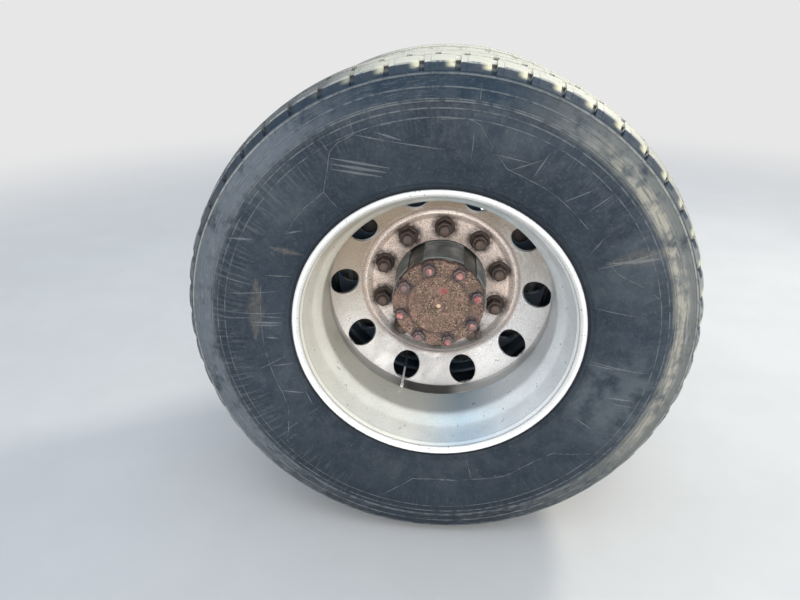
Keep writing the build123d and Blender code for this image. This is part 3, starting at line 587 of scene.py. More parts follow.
def tread_rubber():
    """Pale worn tread: chalky blocks at the shoulder, a hollow behind each notch painted dark blue as shade,
    and a painted sunlit highlight in cream before it.
    """
    f = Finish("tread_rubber", roughness=0.72, specular=0.3)
    radius, reach, up, front = f.places("Radius", "Reach", "Up", "Front")
    rubber_tone(f, radius, up)
    share = f.group("Pitch", Count=SHOULDER_NOTCHES, First=SHOULDER_NOTCH_CLOCK)
    block = ease(radius, 0.5038, 0.5055) * f.patches(55.0, 0.28, 0.56)
    # chalky blocks with painted light: lighter on the right as if sunlit, fading at the top where the tyre
    # is in shade
    chalk_and_sunlight = f.mix(ease(front, -0.5, 0.5), (0.205, 0.223, 0.24), (0.39, 0.395, 0.375))
    f.coat(block * ease(up, 0.1, 0.75, 0.82, 0.07) * ease(up, -0.8, -0.3, 0.55, 1.0), chalk_and_sunlight)
    # painted shade: dark blue in the hollow behind each notch
    scoop_shade = ease(share, 0.055, 0.075) * ease(share, 0.36, 0.24) * band(radius, 0.508, 0.52, 0.0015)
    toward_light = front | up
    scoop_shade = scoop_shade * ease(up, -0.3, 0.4, 0.42, 1.0)
    f.coat(scoop_shade * ease(toward_light, -0.6, 0.5, 0.25, 0.92), (0.028, 0.046, 0.07))
    # pale tread edge: partly chalk, partly a painted highlight
    edge = band(radius, 0.5165, 0.5196, 0.001) * f.patches(90.0, 0.28, 0.5)
    f.coat(edge * ease(up, -0.8, -0.3, 0.4, 0.72), (0.5, 0.5, 0.46))
    on_top = ease(reach, 0.0992, 0.0966)
    worn = f.mix(f.patches(26.0, 0.3, 0.6), (0.225, 0.22, 0.195), (0.42, 0.41, 0.35))
    # painted light on the worn tread top: a pale sunlit patch at the top, and dark blue shade to the left
    sunny = ease(up, 0.45, 0.85) * ease(front, -0.5, -0.12)
    worn = f.mix(sunny * f.patches(70.0, 0.22, 0.44), worn, (0.66, 0.645, 0.55))
    worn = f.mix(ease(front, -0.15, -0.5, 0.0, 0.72), worn, (0.06, 0.082, 0.104))
    f.coat(on_top * ease(up, -0.3, 0.4, 0.55, 0.92), worn)
    # painted sunlit highlight in cream on the worn face before each notch, where it faces up and to the
    # right
    before = ease(share, 0.6, 0.86) * ease(radius, 0.5068, 0.5125)
    cream = before * ease(toward_light, 0.35, 1.0) * f.patches(60.0, 0.26, 0.46)
    f.coat(cream * ease(reach, 0.093, 0.096) * 0.9, (0.68, 0.65, 0.46))
    # painted shade in the shoulder notches: dark blue low down, near black higher up
    cut = ease(share, 0.078, 0.068) | ease(share, 0.922, 0.932)
    low = cut * band(radius, 0.5045, 0.515, 0.0012) * ease(up, -0.2, 0.4, 0.3, 0.85)
    f.coat(low, (0.024, 0.041, 0.062))
    cut = cut * band(radius, 0.5138, 0.524, 0.001) * band(reach, 0.086, 0.11, 0.002)
    f.coat(cut * ease(up, 0.3, 0.8, 0.45, 0.95), (0.012, 0.014, 0.018))
    rib_share = f.group("Pitch", Count=RIB_NOTCHES, First=RIB_NOTCH_CLOCK)
    # painted shade: near black in the rib's notches
    rib_notch_shade = ease(rib_share, 0.105, 0.09) | ease(rib_share, 0.895, 0.91)
    f.coat(rib_notch_shade * band(reach, 0.0478, 0.0578, 0.0006) * 0.92, (0.014, 0.015, 0.018))
    # painted shade: darker in the tread's grooves
    groove_shade = ease(radius, 0.5195, 0.5165) * ease(reach, 0.09, 0.086)
    f.coat(groove_shade, (0.05, 0.047, 0.042))
    f.coat(f.specks(420.0, 0.1) * 0.3, (0.3, 0.31, 0.3))
    return rubber_grain(f)


def wheel_paint(name, shade_facing, inner_shade):
    """Silver-grey paint gone chalky: white lip, rust and dark rings round the bolting face, painted light
    and shade across the dish, painted dark blue shade behind.
    """
    f = Finish(name, roughness=0.42, metallic=0.25)
    radius, reach, up, front = f.places("Radius", "Reach", "Up", "Front")
    on_disc = ease(reach, -0.092, -0.098)
    # partly grime, partly painted light: warm towards the top and left as shade with bounced light, cool
    # blue towards the bottom and right as sky light
    warm_bounce_and_dirt = ease((up | 1.0) * 0.5 | front * -0.35, 0.15, 0.85)
    lit_rear_side = ease(front * -1.0 | up * -0.5, 0.2, 0.8)
    tone = f.mix(warm_bounce_and_dirt, (0.51, 0.645, 0.755), (0.7, 0.62, 0.47))
    f.base = f.mix(f.patches(9.0, 0.35, 0.7) * 0.25, tone, (0.7, 0.69, 0.65))
    # painted light and shade on the rim's bands: the well darker as shade, the cone between, the slope
    # bright as a highlight
    well = band(reach, -0.07, 0.026, 0.014)
    f.coat(well * 0.72, f.mix(warm_bounce_and_dirt, (0.215, 0.29, 0.345), (0.42, 0.395, 0.32)))
    cone = band(reach, 0.07, 0.104, 0.01)
    f.coat(cone * 0.45, f.mix(warm_bounce_and_dirt, (0.42, 0.58, 0.72), (0.47, 0.425, 0.335)))
    slope = band(reach, 0.034, 0.058, 0.013)
    f.coat(slope * 0.75, f.mix(warm_bounce_and_dirt, (0.66, 0.85, 0.96), (0.9, 0.86, 0.73)))
    # painted light: the rim paler on the left and at the bottom
    bright = f.mix(band(reach, -0.07, 0.026, 0.008), (0.9, 0.86, 0.74), (0.66, 0.62, 0.52))
    f.coat(lit_rear_side * ease(reach, -0.075, -0.06, 0.0, 0.85), bright)
    # painted light: near white on the right of the rim
    lit_right_side = ease(front, 0.15, 0.75) * ease(reach, -0.06, -0.045)
    f.coat(lit_right_side * 0.82, (0.93, 0.965, 0.98))
    lip = ease(reach, 0.1085, 0.111)
    f.coat(lip, (0.84, 0.845, 0.83))
    # painted shade in the lip's grooves
    groove = band(reach, 0.105, 0.1075, 0.0007) | band(reach, 0.0975, 0.099, 0.0008) * 0.5
    f.coat(groove * 0.6, (0.25, 0.235, 0.21))
    # painted light: the disc's skirt lightened, most on the right
    skirt = band(reach, -0.1085, -0.06, 0.003) * ease(radius, 0.251, 0.2525)
    f.coat(skirt, f.mix(ease(front, -0.2, 0.5), (0.42, 0.4, 0.35), (0.58, 0.58, 0.565)))
    mottle = f.patches(430.0, 0.42, 0.66) * f.patches(31.0, 0.25, 0.6)
    f.coat(mottle * 0.28, (0.3, 0.28, 0.25))
    disc = on_disc * ease(radius, 0.186, 0.194)
    sheet = f.mix(f.patches(13.0, 0.35, 0.65), (0.58, 0.56, 0.52), (0.71, 0.69, 0.65))
    shaded = f.mix(f.patches(13.0, 0.35, 0.65), (0.34, 0.345, 0.35), (0.46, 0.465, 0.465))
    sheet = f.mix(ease(up, -0.45, -0.9) * ease(front, 0.6, 0.15) * 0.78, sheet, shaded)
    # painted light: the disc lighter on the lower right
    sheet = f.mix(ease(front, 0.2, 0.6) * ease(up, 0.3, -0.2), sheet, (0.8, 0.8, 0.8))
    # painted shade: brown towards the top and left of the disc
    brown = ease(up | front * -0.5, -0.1, 0.9, 0.0, 0.9)
    f.coat(disc, f.mix(brown, sheet, (0.385, 0.3, 0.213)))
    stain = f.streaks("Round", 120.0, 0.48, 0.62) * disc * ease(up, -0.2, 0.8, 0.05, 0.55)
    f.coat(stain, (0.43, 0.335, 0.25))
    pink = f.mix(f.patches(24.0, 0.3, 0.7), (0.66, 0.53, 0.455), (0.83, 0.715, 0.65))
    # painted shade: the face greyer and darker at the bottom
    pink = f.mix(ease(up, -0.3, -0.8), pink, (0.4, 0.385, 0.37))
    f.coat(ease(radius, 0.2, 0.18) * f.uneven(11.0, 0.25, 0.6, 0.8, 1.0), pink)
    f.coat(f.patches(520.0, 0.46, 0.62) * on_disc * 0.3, (0.23, 0.17, 0.135))
    # painted highlight on the crest round the bolting face, strongest at the top
    crest = band(radius, 0.1765, 0.1815, 0.0025)
    f.coat(crest * ease(up, -0.8, 0.2, 0.05, 0.5), (0.82, 0.75, 0.68))
    # painted shade under the crest at the bottom
    crest_shadow = band(radius, 0.17, 0.185, 0.004) * on_disc * ease(up, -0.45, -0.9)
    f.coat(crest_shadow * 0.74, (0.17, 0.158, 0.145))
    # painted shadow in the valley outside the crest
    valley_shade = band(radius, 0.185, 0.1915, 0.0036) * on_disc
    f.coat(valley_shade * 0.76, (0.215, 0.165, 0.135))
    nut = f.group("AroundRing", Count=STUD_COUNT, Circle=STUD_CIRCLE_R, Phase=STUD_PHASE)
    halo = ease(nut, 0.0395, 0.0255) * f.uneven(85.0, 0.28, 0.68, 0.35, 1.0)
    f.coat(halo * 0.95, (0.045, 0.035, 0.031))
    pits = f.specks(300.0, 0.4) * ease(radius, 0.24, 0.165, 0.26, 1.0)
    f.coat(pits * on_disc * 0.95, (0.15, 0.082, 0.058))
    f.coat(f.specks(170.0, 0.09) * 0.8, (0.12, 0.09, 0.07))
    hole = f.group("AroundRing", Count=STUD_COUNT, Circle=HAND_HOLE_CIRCLE_R, Phase=HAND_HOLE_PHASE)
    # painted light and shade on the hand holes' walls: the hub side lighter at the top, the outer side near
    # black
    wall = ease(hole, 0.0324, 0.0319) * on_disc
    lit_hub_side = f.mix(ease(up, 0.1, 0.7), (0.3, 0.34, 0.37), (0.62, 0.64, 0.63))
    f.coat(wall * 0.9, f.mix(ease(radius, 0.232, 0.246), lit_hub_side, (0.028, 0.035, 0.042)))
    # painted shadow: a dark crescent between the skirt and the well, at the bottom
    foot = band(front, -0.34, 0.16, 0.08) * ease(up, -0.5, -0.7) * band(reach, -0.1075, -0.062, 0.003)
    f.coat(foot * ease(radius, 0.2515, 0.253) * 0.9, (0.035, 0.033, 0.03))
    # painted shade: dark blue on the disc faces that look one way, inboard on the outer wheel and outboard
    # on the inner one, and over much of the inner wheel
    behind = ease(f.facing("Y") * shade_facing, 0.15, 0.45) * on_disc | inner_shade
    in_well = f.strokes(WELL_MARK) * band(reach, 0.003, 0.0062, 0.0008)
    on_rim = f.strokes(RIM_MARKS) * ease(reach, 0.03, 0.04)
    f.coat((in_well | on_rim) * 0.85, (0.06, 0.055, 0.05))
    behind_shade = f.mix(f.patches(18.0, 0.3, 0.7), (0.003, 0.018, 0.038), (0.011, 0.044, 0.075))
    f.coat(behind * 0.94, behind_shade)
    f.feed("Roughness", f.uneven(26.0, 0.3, 0.7, 0.34, 0.6))
    f.grain_bump(90.0, 1100.0, 0.35, 0.16, 0.0006)
    return f.done()


def gritty_rust():
    """Forged flange under a thick crust of brown, olive and pink grains; oily steel further in."""
    f = Finish("gritty_rust", roughness=0.88, specular=0.2)
    radius, station = f.places("Radius", "Station")
    coarse, fine = f.group("Grit", Scale=430.0), f.group("Grit", Scale=1050.0)
    f.base = f.ramp(coarse["Grain"], (
        (0.0, (0.022, 0.016, 0.015)), (0.2, (0.105, 0.066, 0.052)), (0.42, (0.195, 0.122, 0.092)),
        (0.62, (0.25, 0.2, 0.13)), (0.78, (0.43, 0.25, 0.205)), (0.92, (0.62, 0.48, 0.38))))
    f.coat(0.38, f.ramp(fine["Grain"], (
        (0.0, (0.045, 0.032, 0.028)), (0.3, (0.17, 0.112, 0.088)), (0.7, (0.33, 0.25, 0.19)))))
    f.coat(f.patches(26.0, 0.42, 0.64) * 0.5, (0.19, 0.125, 0.1))
    f.coat(f.patches(33.0, 0.5, 0.66, (1.3, 1.0, 1.1)) * 0.4, (0.42, 0.24, 0.195))
    f.coat(band(radius, 0.069, 0.0755, 0.003) * 0.45, (0.105, 0.085, 0.085))
    nut = f.group("AroundRing", Count=FLANGE_STUDS, Circle=FLANGE_STUD_CIRCLE_R, Phase=FLANGE_PHASE)
    near = ease(nut, 0.0225, 0.015) * f.uneven(160.0, 0.36, 0.6, 0.25, 1.0)
    f.coat(near * 0.8, (0.058, 0.05, 0.06))
    dab = f.strokes(RED_DAB) * f.uneven(240.0, 0.4, 0.55, 0.15, 0.85)
    f.coat(dab, (0.46, 0.055, 0.065))
    plug = ease(radius, 0.0062, 0.0045) * ease(station, 0.144, 0.1448)
    f.coat(plug, (0.78, 0.55, 0.36))
    inner = ease(station, 0.116, 0.11)
    f.coat(inner * 0.9, (0.17, 0.155, 0.145))
    f.feed("Metallic", inner * 0.75)
    f.bump(coarse["Height"] * 0.5 | fine["Height"] * 0.3, 0.9, 0.0022)
    return f.done()


def dull_steel(name, dark, light, rust, rust_share, roughness=0.5, metallic=0.6, scale=40.0):
    """Bare or plated steel with uneven tarnish and rust."""
    f = Finish(name, roughness=roughness, metallic=metallic)
    f.base = f.mix(f.patches(scale, 0.3, 0.7), dark, light)
    spots = f.patches(scale * 1.7, 0.72 - rust_share, 0.86 - rust_share)
    f.coat(spots * 0.85, rust)
    f.coat(f.specks(scale * 9, 0.2) * 0.6, tuple(0.45 * c for c in rust))
    f.feed("Metallic", ease(spots, 0, 1, metallic, 0.1))
    f.feed("Roughness", ease(spots, 0, 1, roughness, 0.85))
    f.grain_bump(scale * 6, scale * 30, 0.5, 0.35, 0.0006)
    return f.done()


def valve_nickel():
    """Bright nickel where it stands out of the wheel, painted black as shade further in."""
    f = Finish("valve_nickel", roughness=0.32, metallic=0.4)
    f.base = f.mix(f.patches(120.0, 0.3, 0.7), (0.72, 0.72, 0.7), (0.92, 0.92, 0.9))
    [station] = f.places("Station")
    deep = ease(station, VALVE_SHADE_END_W, VALVE_SHADE_END_W - 0.006)
    # painted shade: black inside the wheel
    f.coat(deep * 0.97, (0.01, 0.014, 0.019))
    f.feed("Metallic", ease(deep, 0, 1, 0.4, 0.0))
    f.feed("Roughness", ease(deep, 0, 1, 0.32, 0.9))
    return f.done()


def painted_tips():
    """Worn blue-grey nuts on rusty studs, whose ends keep some salmon-red paint."""
    f = Finish("painted_tips", roughness=0.62, metallic=0.15)
    [station] = f.places("Station")
    f.base = f.mix(f.patches(90.0, 0.35, 0.7), (0.04, 0.037, 0.045), (0.125, 0.118, 0.135))
    f.coat(f.specks(420.0, 0.35) * 0.8, (0.33, 0.25, 0.22))
    f.coat(f.patches(55.0, 0.46, 0.6) * 0.75, (0.175, 0.108, 0.082))
    stub = ease(station, 0.1525, 0.1535)
    f.coat(stub * 0.6, (0.2, 0.13, 0.11))
    red = f.mix(f.patches(170.0, 0.42, 0.56), (0.33, 0.06, 0.06), (0.52, 0.25, 0.225))
    kept = f.uneven(13.0, 0.44, 0.56, 0.1, 0.95, (1.0, 0.2, 1.0))
    tip = ease(station, 0.153, 0.155) * kept * f.uneven(210.0, 0.36, 0.52, 0.1, 1.0)
    f.coat(tip, red)
    f.grain_bump(400.0, 1500.0, 0.5, 0.5, 0.0007)
    return f.done()


def greasy_casting():
    """Grey-green hub casting, bluer and lighter on its pads, with old grease that shines a little."""
    f = Finish("greasy_casting", roughness=0.42, specular=0.5)
    radius, station = f.places("Radius", "Station")
    f.base = f.mix(f.patches(14.0, 0.3, 0.7), (0.075, 0.082, 0.076), (0.15, 0.155, 0.142))
    f.coat(f.patches(34.0, 0.5, 0.7) * 0.6, (0.15, 0.13, 0.1))
    pad = ease(radius, 0.105, 0.1062) * ease(station, -0.022, -0.018)
    light = f.mix(f.patches(20.0, 0.35, 0.65, (1, 2, 1)), (0.165, 0.18, 0.178), (0.25, 0.285, 0.295))
    f.coat(pad * 0.85, light)
    # painted shade: black on the casting beyond the pads, in the gap behind the wheel discs
    gap_shade = ease(radius, 0.1075, 0.1092)
    f.coat(gap_shade * 0.9, (0.02, 0.02, 0.02))
    f.feed("Roughness", f.uneven(18.0, 0.35, 0.65, 0.32, 0.7))
    f.grain_bump(70.0, 500.0, 0.4, 0.45, 0.0012)
    return f.done()


def cast_rust(name, dark, light, roughness=0.8):
    """Sand-cast iron with an even coat of rust."""
    f = Finish(name, roughness=roughness, specular=0.3)
    f.base = f.mix(f.patches(12.0, 0.3, 0.7), dark, light)
    f.coat(f.patches(45.0, 0.5, 0.68) * 0.7, tuple(1.5 * c for c in light))
    f.coat(f.specks(260.0, 0.28) * 0.7, tuple(0.4 * c for c in dark))
    f.grain_bump(170.0, 800.0, 0.5, 0.6, 0.0012)
    return f.done()


def dusty_paint(name, colour, dust=0.45, gloss=0.45):
    """Chassis paint, chipped to rust here and there, with dust on what looks up."""
    f = Finish(name, roughness=gloss, specular=0.45)
    f.base = f.mix(f.patches(16.0, 0.35, 0.7), colour, tuple(1.5 * c + 0.01 for c in colour))
    f.coat(f.specks(70.0, 0.14) * 0.85, (0.16, 0.085, 0.05))
    lying = ease(f.facing("Z"), 0.1, 0.95) * f.patches(24.0, 0.3, 0.62)
    f.coat(lying * dust, (0.3, 0.275, 0.235))
    f.feed("Roughness", ease(lying, 0, 1, gloss, 0.9))
    f.grain_bump(110.0, 700.0, 0.4, 0.3, 0.0007)
    return f.done()


def friction_lining():
    """Moulded brake lining with pale chips in it."""
    f = Finish("friction_lining", roughness=0.9, specular=0.2)
    f.base = f.mix(f.patches(60.0, 0.35, 0.7), (0.13, 0.11, 0.095), (0.2, 0.175, 0.15))
    f.coat(f.specks(330.0, 0.25) * 0.8, (0.38, 0.33, 0.25))
    f.grain_bump(300.0, 1200.0, 0.5, 0.5, 0.0008)
    return f.done()


RUBBER = sidewall_rubber()
TREAD = tread_rubber()
PAINTS = {
    "outer": wheel_paint("wheel_paint", 1.0, 0.0),
    # the inner wheel's paint carries painted shade over much of it
    "inner": wheel_paint("inner_wheel_paint", -1.0, 0.62),
}
RUST_CRUST = gritty_rust()
TIPS = painted_tips()
CASTING = greasy_casting()
# kept near black, partly as painted shade for the drum seen through the hand holes
DRUM_IRON = cast_rust("drum_iron", (0.034, 0.034, 0.036), (0.068, 0.058, 0.052))
SHOE_PRIMER = cast_rust("shoe_primer", (0.075, 0.052, 0.042), (0.13, 0.085, 0.065))
NUT_STEEL = dull_steel("nut_steel", (0.029, 0.022, 0.020), (0.064, 0.044, 0.036), (0.10, 0.054, 0.037),
                       0.20, 0.62, 0.25, 60.0)
STUD_STEEL = dull_steel("stud_steel", (0.068, 0.049, 0.043), (0.135, 0.097, 0.081), (0.12, 0.066, 0.045),
                        0.2, 0.66, 0.25, 90.0)
BEARING_STEEL = dull_steel("bearing_steel", (0.38, 0.38, 0.39), (0.52, 0.52, 0.53), (0.2, 0.14, 0.09),
                           0.02, 0.3, 0.9)
BARE_STEEL = dull_steel("bare_steel", (0.20, 0.18, 0.165), (0.34, 0.31, 0.29), (0.19, 0.10, 0.06),
                        0.18, 0.45, 0.7)
SPRING_STEEL = dull_steel("spring_steel", (0.11, 0.10, 0.095), (0.21, 0.19, 0.18), (0.2, 0.10, 0.06),
                          0.16, 0.5, 0.6)
ZINC = dull_steel("zinc_plate", (0.42, 0.40, 0.34), (0.58, 0.56, 0.49), (0.28, 0.19, 0.11), 0.12, 0.42, 0.75)
NICKEL = valve_nickel()
AXLE_PAINT = dusty_paint("axle_paint", (0.035, 0.038, 0.042))
CHAMBER_PAINT = dusty_paint("chamber_paint", (0.028, 0.029, 0.032), 0.55, 0.4)
LINING = friction_lining()

# Frame nodes that keep their CAD shape and get a finish
KEPT = (
    (CASTING, "hub"), (DRUM_IRON, "brake_drum"),
    (BEARING_STEEL, "bearing_outer", "bearing_inner", "spindle_nut"),
    (AXLE_PAINT, "axle_housing", "brake_spider", "cam_tube", "chamber_bracket"),
    (NUT_STEEL, "spider_bolts", "chamber_nuts"), (SHOE_PRIMER, "shoe_upper", "shoe_lower"),
    (LINING, "lining_upper", "lining_lower"), (BARE_STEEL, "anchor_pins", "cam_rollers", "camshaft"),
    (CHAMBER_PAINT, "slack_adjuster", "service_chamber", "spring_chamber"),
    (ZINC, "push_rod", "chamber_band"),
)
for material, *names in KEPT:
    for name in names:
        nodes[name].data.materials.clear()
        nodes[name].data.materials.append(material)


# Tyres
CROWN_RISE = TREAD_R - TREAD_EDGE_R
CROWN_ARC_R = (TREAD_HALF ** 2 + CROWN_RISE ** 2) / (2 * CROWN_RISE)


def wall_offset(radius):
    """How far the sidewall stands out from the tyre's middle at a radius."""
    ux, uy, arc = WALL_ARC
    return uy + math.sqrt(arc ** 2 - (radius - ux) ** 2)


def crown_radius(offset):
    return TREAD_R - CROWN_ARC_R + math.sqrt(CROWN_ARC_R ** 2 - offset ** 2)


GROOVE_DEPTH = 0.013
WALL_LEAN = 0.0006          # how far a notch's wall leans out
NOTCH_HALF = 0.0046         # half width of a notch, along the tread
SHOULDER_NOTCH_DEPTH = 0.0062
RIB_NOTCH_DEPTH = 0.008
HEEL_WEAR = 0.0022
SCOOP_SHARE = 0.26          # part of a pitch, after its notch, where a block's face is hollowed
SCOOP_DEPTH = 0.0011
INBOARD_TURN = 3.4          # how far the notches of a tyre's inboard half lie from the others, degrees
TREAD_FOOT_R = 0.5034       # the sidewall's rubber ends here
BLOCK_FOOT_R = 0.5038       # a block's face fades into the wall from here
WALL_TOP = (0.5035, 0.1207)
RING_EDGE = 0.0008          # width of a ring's sloping edge
RING_ROOM = 0.0022          # space that a ring needs from the wall's other rows
NOTCHES = (
    # count, first one's clock angle, shares of a pitch with a column of their own
    (SHOULDER_NOTCHES, SHOULDER_NOTCH_CLOCK, (0.18, 0.25, 0.27, 0.50, 0.76)),
    (RIB_NOTCHES, RIB_NOTCH_CLOCK, ()),
)

# Rows of the crown: kind, offsets from its middle
CROWN_ROWS = (
    ("crown", 0.0, 0.0045), ("rib", 0.0055, 0.0110, 0.0160), ("groove", 0.0171, 0.0210, 0.0249),
    ("crown", 0.0260, 0.0345, 0.0355, 0.0410, 0.0475), ("rib", 0.0485, 0.0530, 0.0571),
    ("groove", 0.0581, 0.0620, 0.0659),
)

# Outermost rib and the blocks' faces below it: radius, offset
SHOULDER_ROWS = (
    (0.5266, 0.0669), (0.5248, 0.0740), (0.5231, 0.0820), (0.5219, 0.0885), (0.5210, 0.0935),
    (0.5202, 0.0957), (0.5190, 0.0985), (0.5176, 0.1015), (0.5160, 0.1048), (0.5143, 0.1078),
    (0.5125, 0.1105), (0.5105, 0.1128), (0.5084, 0.1152), (0.5063, 0.1178), (0.5048, 0.1196),
)
BEAD_ROWS = (LIP_TOP, (0.2920, 0.1060), (0.2864, 0.1034), (0.2792, 0.0780))
TYRE_INSIDE = (
    (0.304, 0.088), (0.345, 0.111), (0.405, 0.126), (0.455, 0.1185), (0.486, 0.104), (0.501, 0.058),
    (0.508, 0.0),
)


def tyre_rows(rings):
    """Half of the tyre's outline from the crown's middle to the bead, as (radius, offset, kind)."""
    rows = [(crown_radius(offset), offset, kind) for kind, *offsets in CROWN_ROWS for offset in offsets]
    rows += [(radius, offset, "shoulder") for radius, offset in SHOULDER_ROWS]
    rows.append((*WALL_TOP, "wall"))
    marks = [0.5015 - 0.0205 * k for k in range(10)]
    levels = [(r, 0.0) for r in marks if all(abs(r - ring[0]) > ring[1] + RING_ROOM for ring in rings)]
    for radius, half, height in rings:
        for side in (1, -1):
            levels += [(radius + side * (half + RING_EDGE), 0.0), (radius + side * half, height)]
    rows += [(r, wall_offset(r) + height, "wall") for r, height in sorted(levels, reverse=True)]
    return rows + [(radius, offset, "wall") for radius, offset in BEAD_ROWS]


def notch_columns():
    """Clock angles of the mesh's columns: a close pair at each notch wall, and some between."""
    marks = []
    half = math.degrees(NOTCH_HALF / TREAD_R)
    lean = math.degrees(WALL_LEAN / TREAD_R)
    for count, first, shares in NOTCHES:
        for k in range(count):
            middle = first + 360.0 * k / count
            marks += [middle - half - lean, middle - half, middle + half, middle + half + lean]
            marks += [middle + 360.0 / count * share for share in shares]
    kept = []
    for mark in sorted(m % 360.0 for m in marks):
        if not kept or mark - kept[-1] > 0.02:
            kept.append(mark)
    return kept


def pitch_share(clock, count, first):
    """Where a clock angle lies in its pitch, 0 at a notch's middle, and its distance from the notch."""
    share = ((clock - first) * count / 360.0) % 1.0
    away = min(share, 1.0 - share) * 2 * math.pi * TREAD_R / count
    return share, away


def tread_drop(kind, radius, offset, clock):
    """How far a point of the tread lies below the tyre's outline, as (inwards, sideways)."""
    if kind == "groove":
        return GROOVE_DEPTH, 0.0
    if kind == "rib":
        away = pitch_share(clock, RIB_NOTCHES, RIB_NOTCH_CLOCK)[1]
        return (RIB_NOTCH_DEPTH, 0.0) if away < NOTCH_HALF + 1e-5 else (0.0, 0.0)
    if kind == "shoulder":
        share, away = pitch_share(clock, SHOULDER_NOTCHES, SHOULDER_NOTCH_CLOCK)
        edge = min((offset - 0.058) / 0.030, 1.0)
        face = min(max((radius - BLOCK_FOOT_R) / 0.006, 0.0), 1.0)
        worn = HEEL_WEAR * edge * face * abs(2 * share - 1) ** 3
        if share < SCOOP_SHARE:
            worn += SCOOP_DEPTH * edge * face
        if away < NOTCH_HALF + 1e-5:
            return worn + SHOULDER_NOTCH_DEPTH * edge * face, worn + 0.7 * SHOULDER_NOTCH_DEPTH * edge * face
        return worn, 0.5 * worn
    return 0.0, 0.0


# Lines moulded on the outboard sidewall, as (radius, clock angle)
RIDGES = (
    ((0.4505, 339.7), (0.439, 339.5), (0.4275, 339.3), (0.4255, 335.0), (0.4175, 332.2), (0.3905, 329.0),
     (0.3635, 324.6), (0.3625, 320.5), (0.364, 316.5), (0.3625, 312.3), (0.3605, 308.3)),
    ((0.441, 331.6), (0.4175, 332.2)),
    ((0.3635, 324.6), (0.339, 324.4), (0.323, 324.4)),
    ((0.429, 343.8), (0.4285, 347.1), (0.4295, 353.0), (0.43, 357.7), (0.431, 362.2)),
    ((0.427, 359.9), (0.4285, 363.8), (0.43, 366.5), (0.426, 368.4), (0.422, 369.5), (0.4065, 371.2),
     (0.3945, 373.0), (0.3795, 375.1), (0.362, 379.1), (0.36, 382.9), (0.3595, 386.7), (0.3605, 391.8),
     (0.36, 396.8), (0.358, 403.4), (0.3575, 409.0)),
    ((0.4145, 8.1), (0.385, 8.5), (0.3635, 8.6)),
    ((0.489, 8.0), (0.4635, 8.2)),
    ((0.36, 61.3), (0.361, 63.7), (0.365, 65.7), (0.379, 68.3), (0.394, 70.4), (0.4285, 76.2)),
    ((0.3635, 286.9), (0.3595, 280.8), (0.3575, 275.9), (0.3565, 270.2), (0.357, 265.0), (0.356, 258.3),
     (0.3565, 251.4), (0.3575, 245.6), (0.363, 240.8), (0.3785, 236.9), (0.3985, 233.5), (0.419, 230.8),
     (0.4195, 228.8)),
    ((0.396, 234.0), (0.3485, 233.9), (0.31, 233.5)),
    ((0.421, 230.9), (0.3895, 230.8)),
    ((0.4235, 196.7), (0.418, 195.8), (0.393, 192.7), (0.361, 187.6), (0.357, 180.8), (0.357, 174.0)),
    ((0.3585, 177.6), (0.3615, 165.4), (0.3665, 160.0), (0.37, 154.6), (0.365, 148.5), (0.364, 142.4),
     (0.368, 136.6), (0.3935, 132.1), (0.421, 128.2)),
    ((0.312, 166.9), (0.3335, 166.7), (0.3565, 166.5)),
)
RIDGE_SECTION = ((-0.0015, -0.0005), (-0.0006, 0.0006), (0.0006, 0.0006), (0.0015, -0.0005))    # across, up
RIDGE_STEP = 0.006


def moulded_line(shell, corners, side):
    """A thin ridge laid on the sidewall along an open path."""
    path = [corners[0]]
    for start, end in zip(corners, corners[1:]):
        length = math.hypot(end[0] - start[0], math.radians(end[1] - start[1]) * start[0])
        steps = max(1, round(length / RIDGE_STEP))
        path += [Vector(start).lerp(end, k / steps) for k in range(1, steps + 1)]
    rings = []
    for i, (radius, clock) in enumerate(path):
        before = path[max(i - 1, 0)]
        after = path[min(i + 1, len(path) - 1)]
        along = Vector((math.radians(after[1] - before[1]) * radius, after[0] - before[0])).normalized()
        section = []
        for across, up in RIDGE_SECTION:
            r = radius + across * along.x
            turn = clock - math.degrees(across * along.y / radius)
            section.append(shell.verts.new(at(r, turn, side * (RIM_CENTRE + wall_offset(r) + up))))
        rings.append(section)
    join_rings(shell, rings)


def dressed_tyre(wheel, side):
    """A worn tyre, with the lines moulded on its outboard wall."""
    rows = [(*row, 1) for row in reversed(tyre_rows(RINGS if side == 1 else ()))]
    rows += [(*row, -1) for row in tyre_rows(RINGS if side == -1 else ())[1:]]
    rows += [(*row, "inside", -1) for row in TYRE_INSIDE]
    rows += [(*row, "inside", 1) for row in TYRE_INSIDE[-2::-1]]
    shell = bmesh.new()
    grid = []
    for clock in notch_columns():
        ring = []
        for radius, offset, kind, half in rows:
            turned = clock if half == 1 else clock + INBOARD_TURN
            inwards, sideways = tread_drop(kind, radius, offset, turned)
            spot = at(radius - inwards, clock, side * RIM_CENTRE + half * (offset - sideways))
            ring.append(shell.verts.new(spot))
        grid.append(ring)
    worn = [radius > TREAD_FOOT_R and kind != "inside" for radius, _, kind, _ in rows]
    for a, b in zip(grid, grid[1:] + grid[:1]):
        for k, face in enumerate(join(shell, a, b)):
            face.material_index = int(worn[k - 1] and worn[k])
    for corners in RIDGES:
        moulded_line(shell, corners, side)
    piece = finish_mesh(f"tyre_{wheel}_worn", shell, RUBBER, 30.0)
    piece.data.materials.append(TREAD)
    place(piece, "wheel", "tyre_rubber", f"tyre_{wheel}")


for wheel, side in SIDES:
    dressed_tyre(wheel, side)

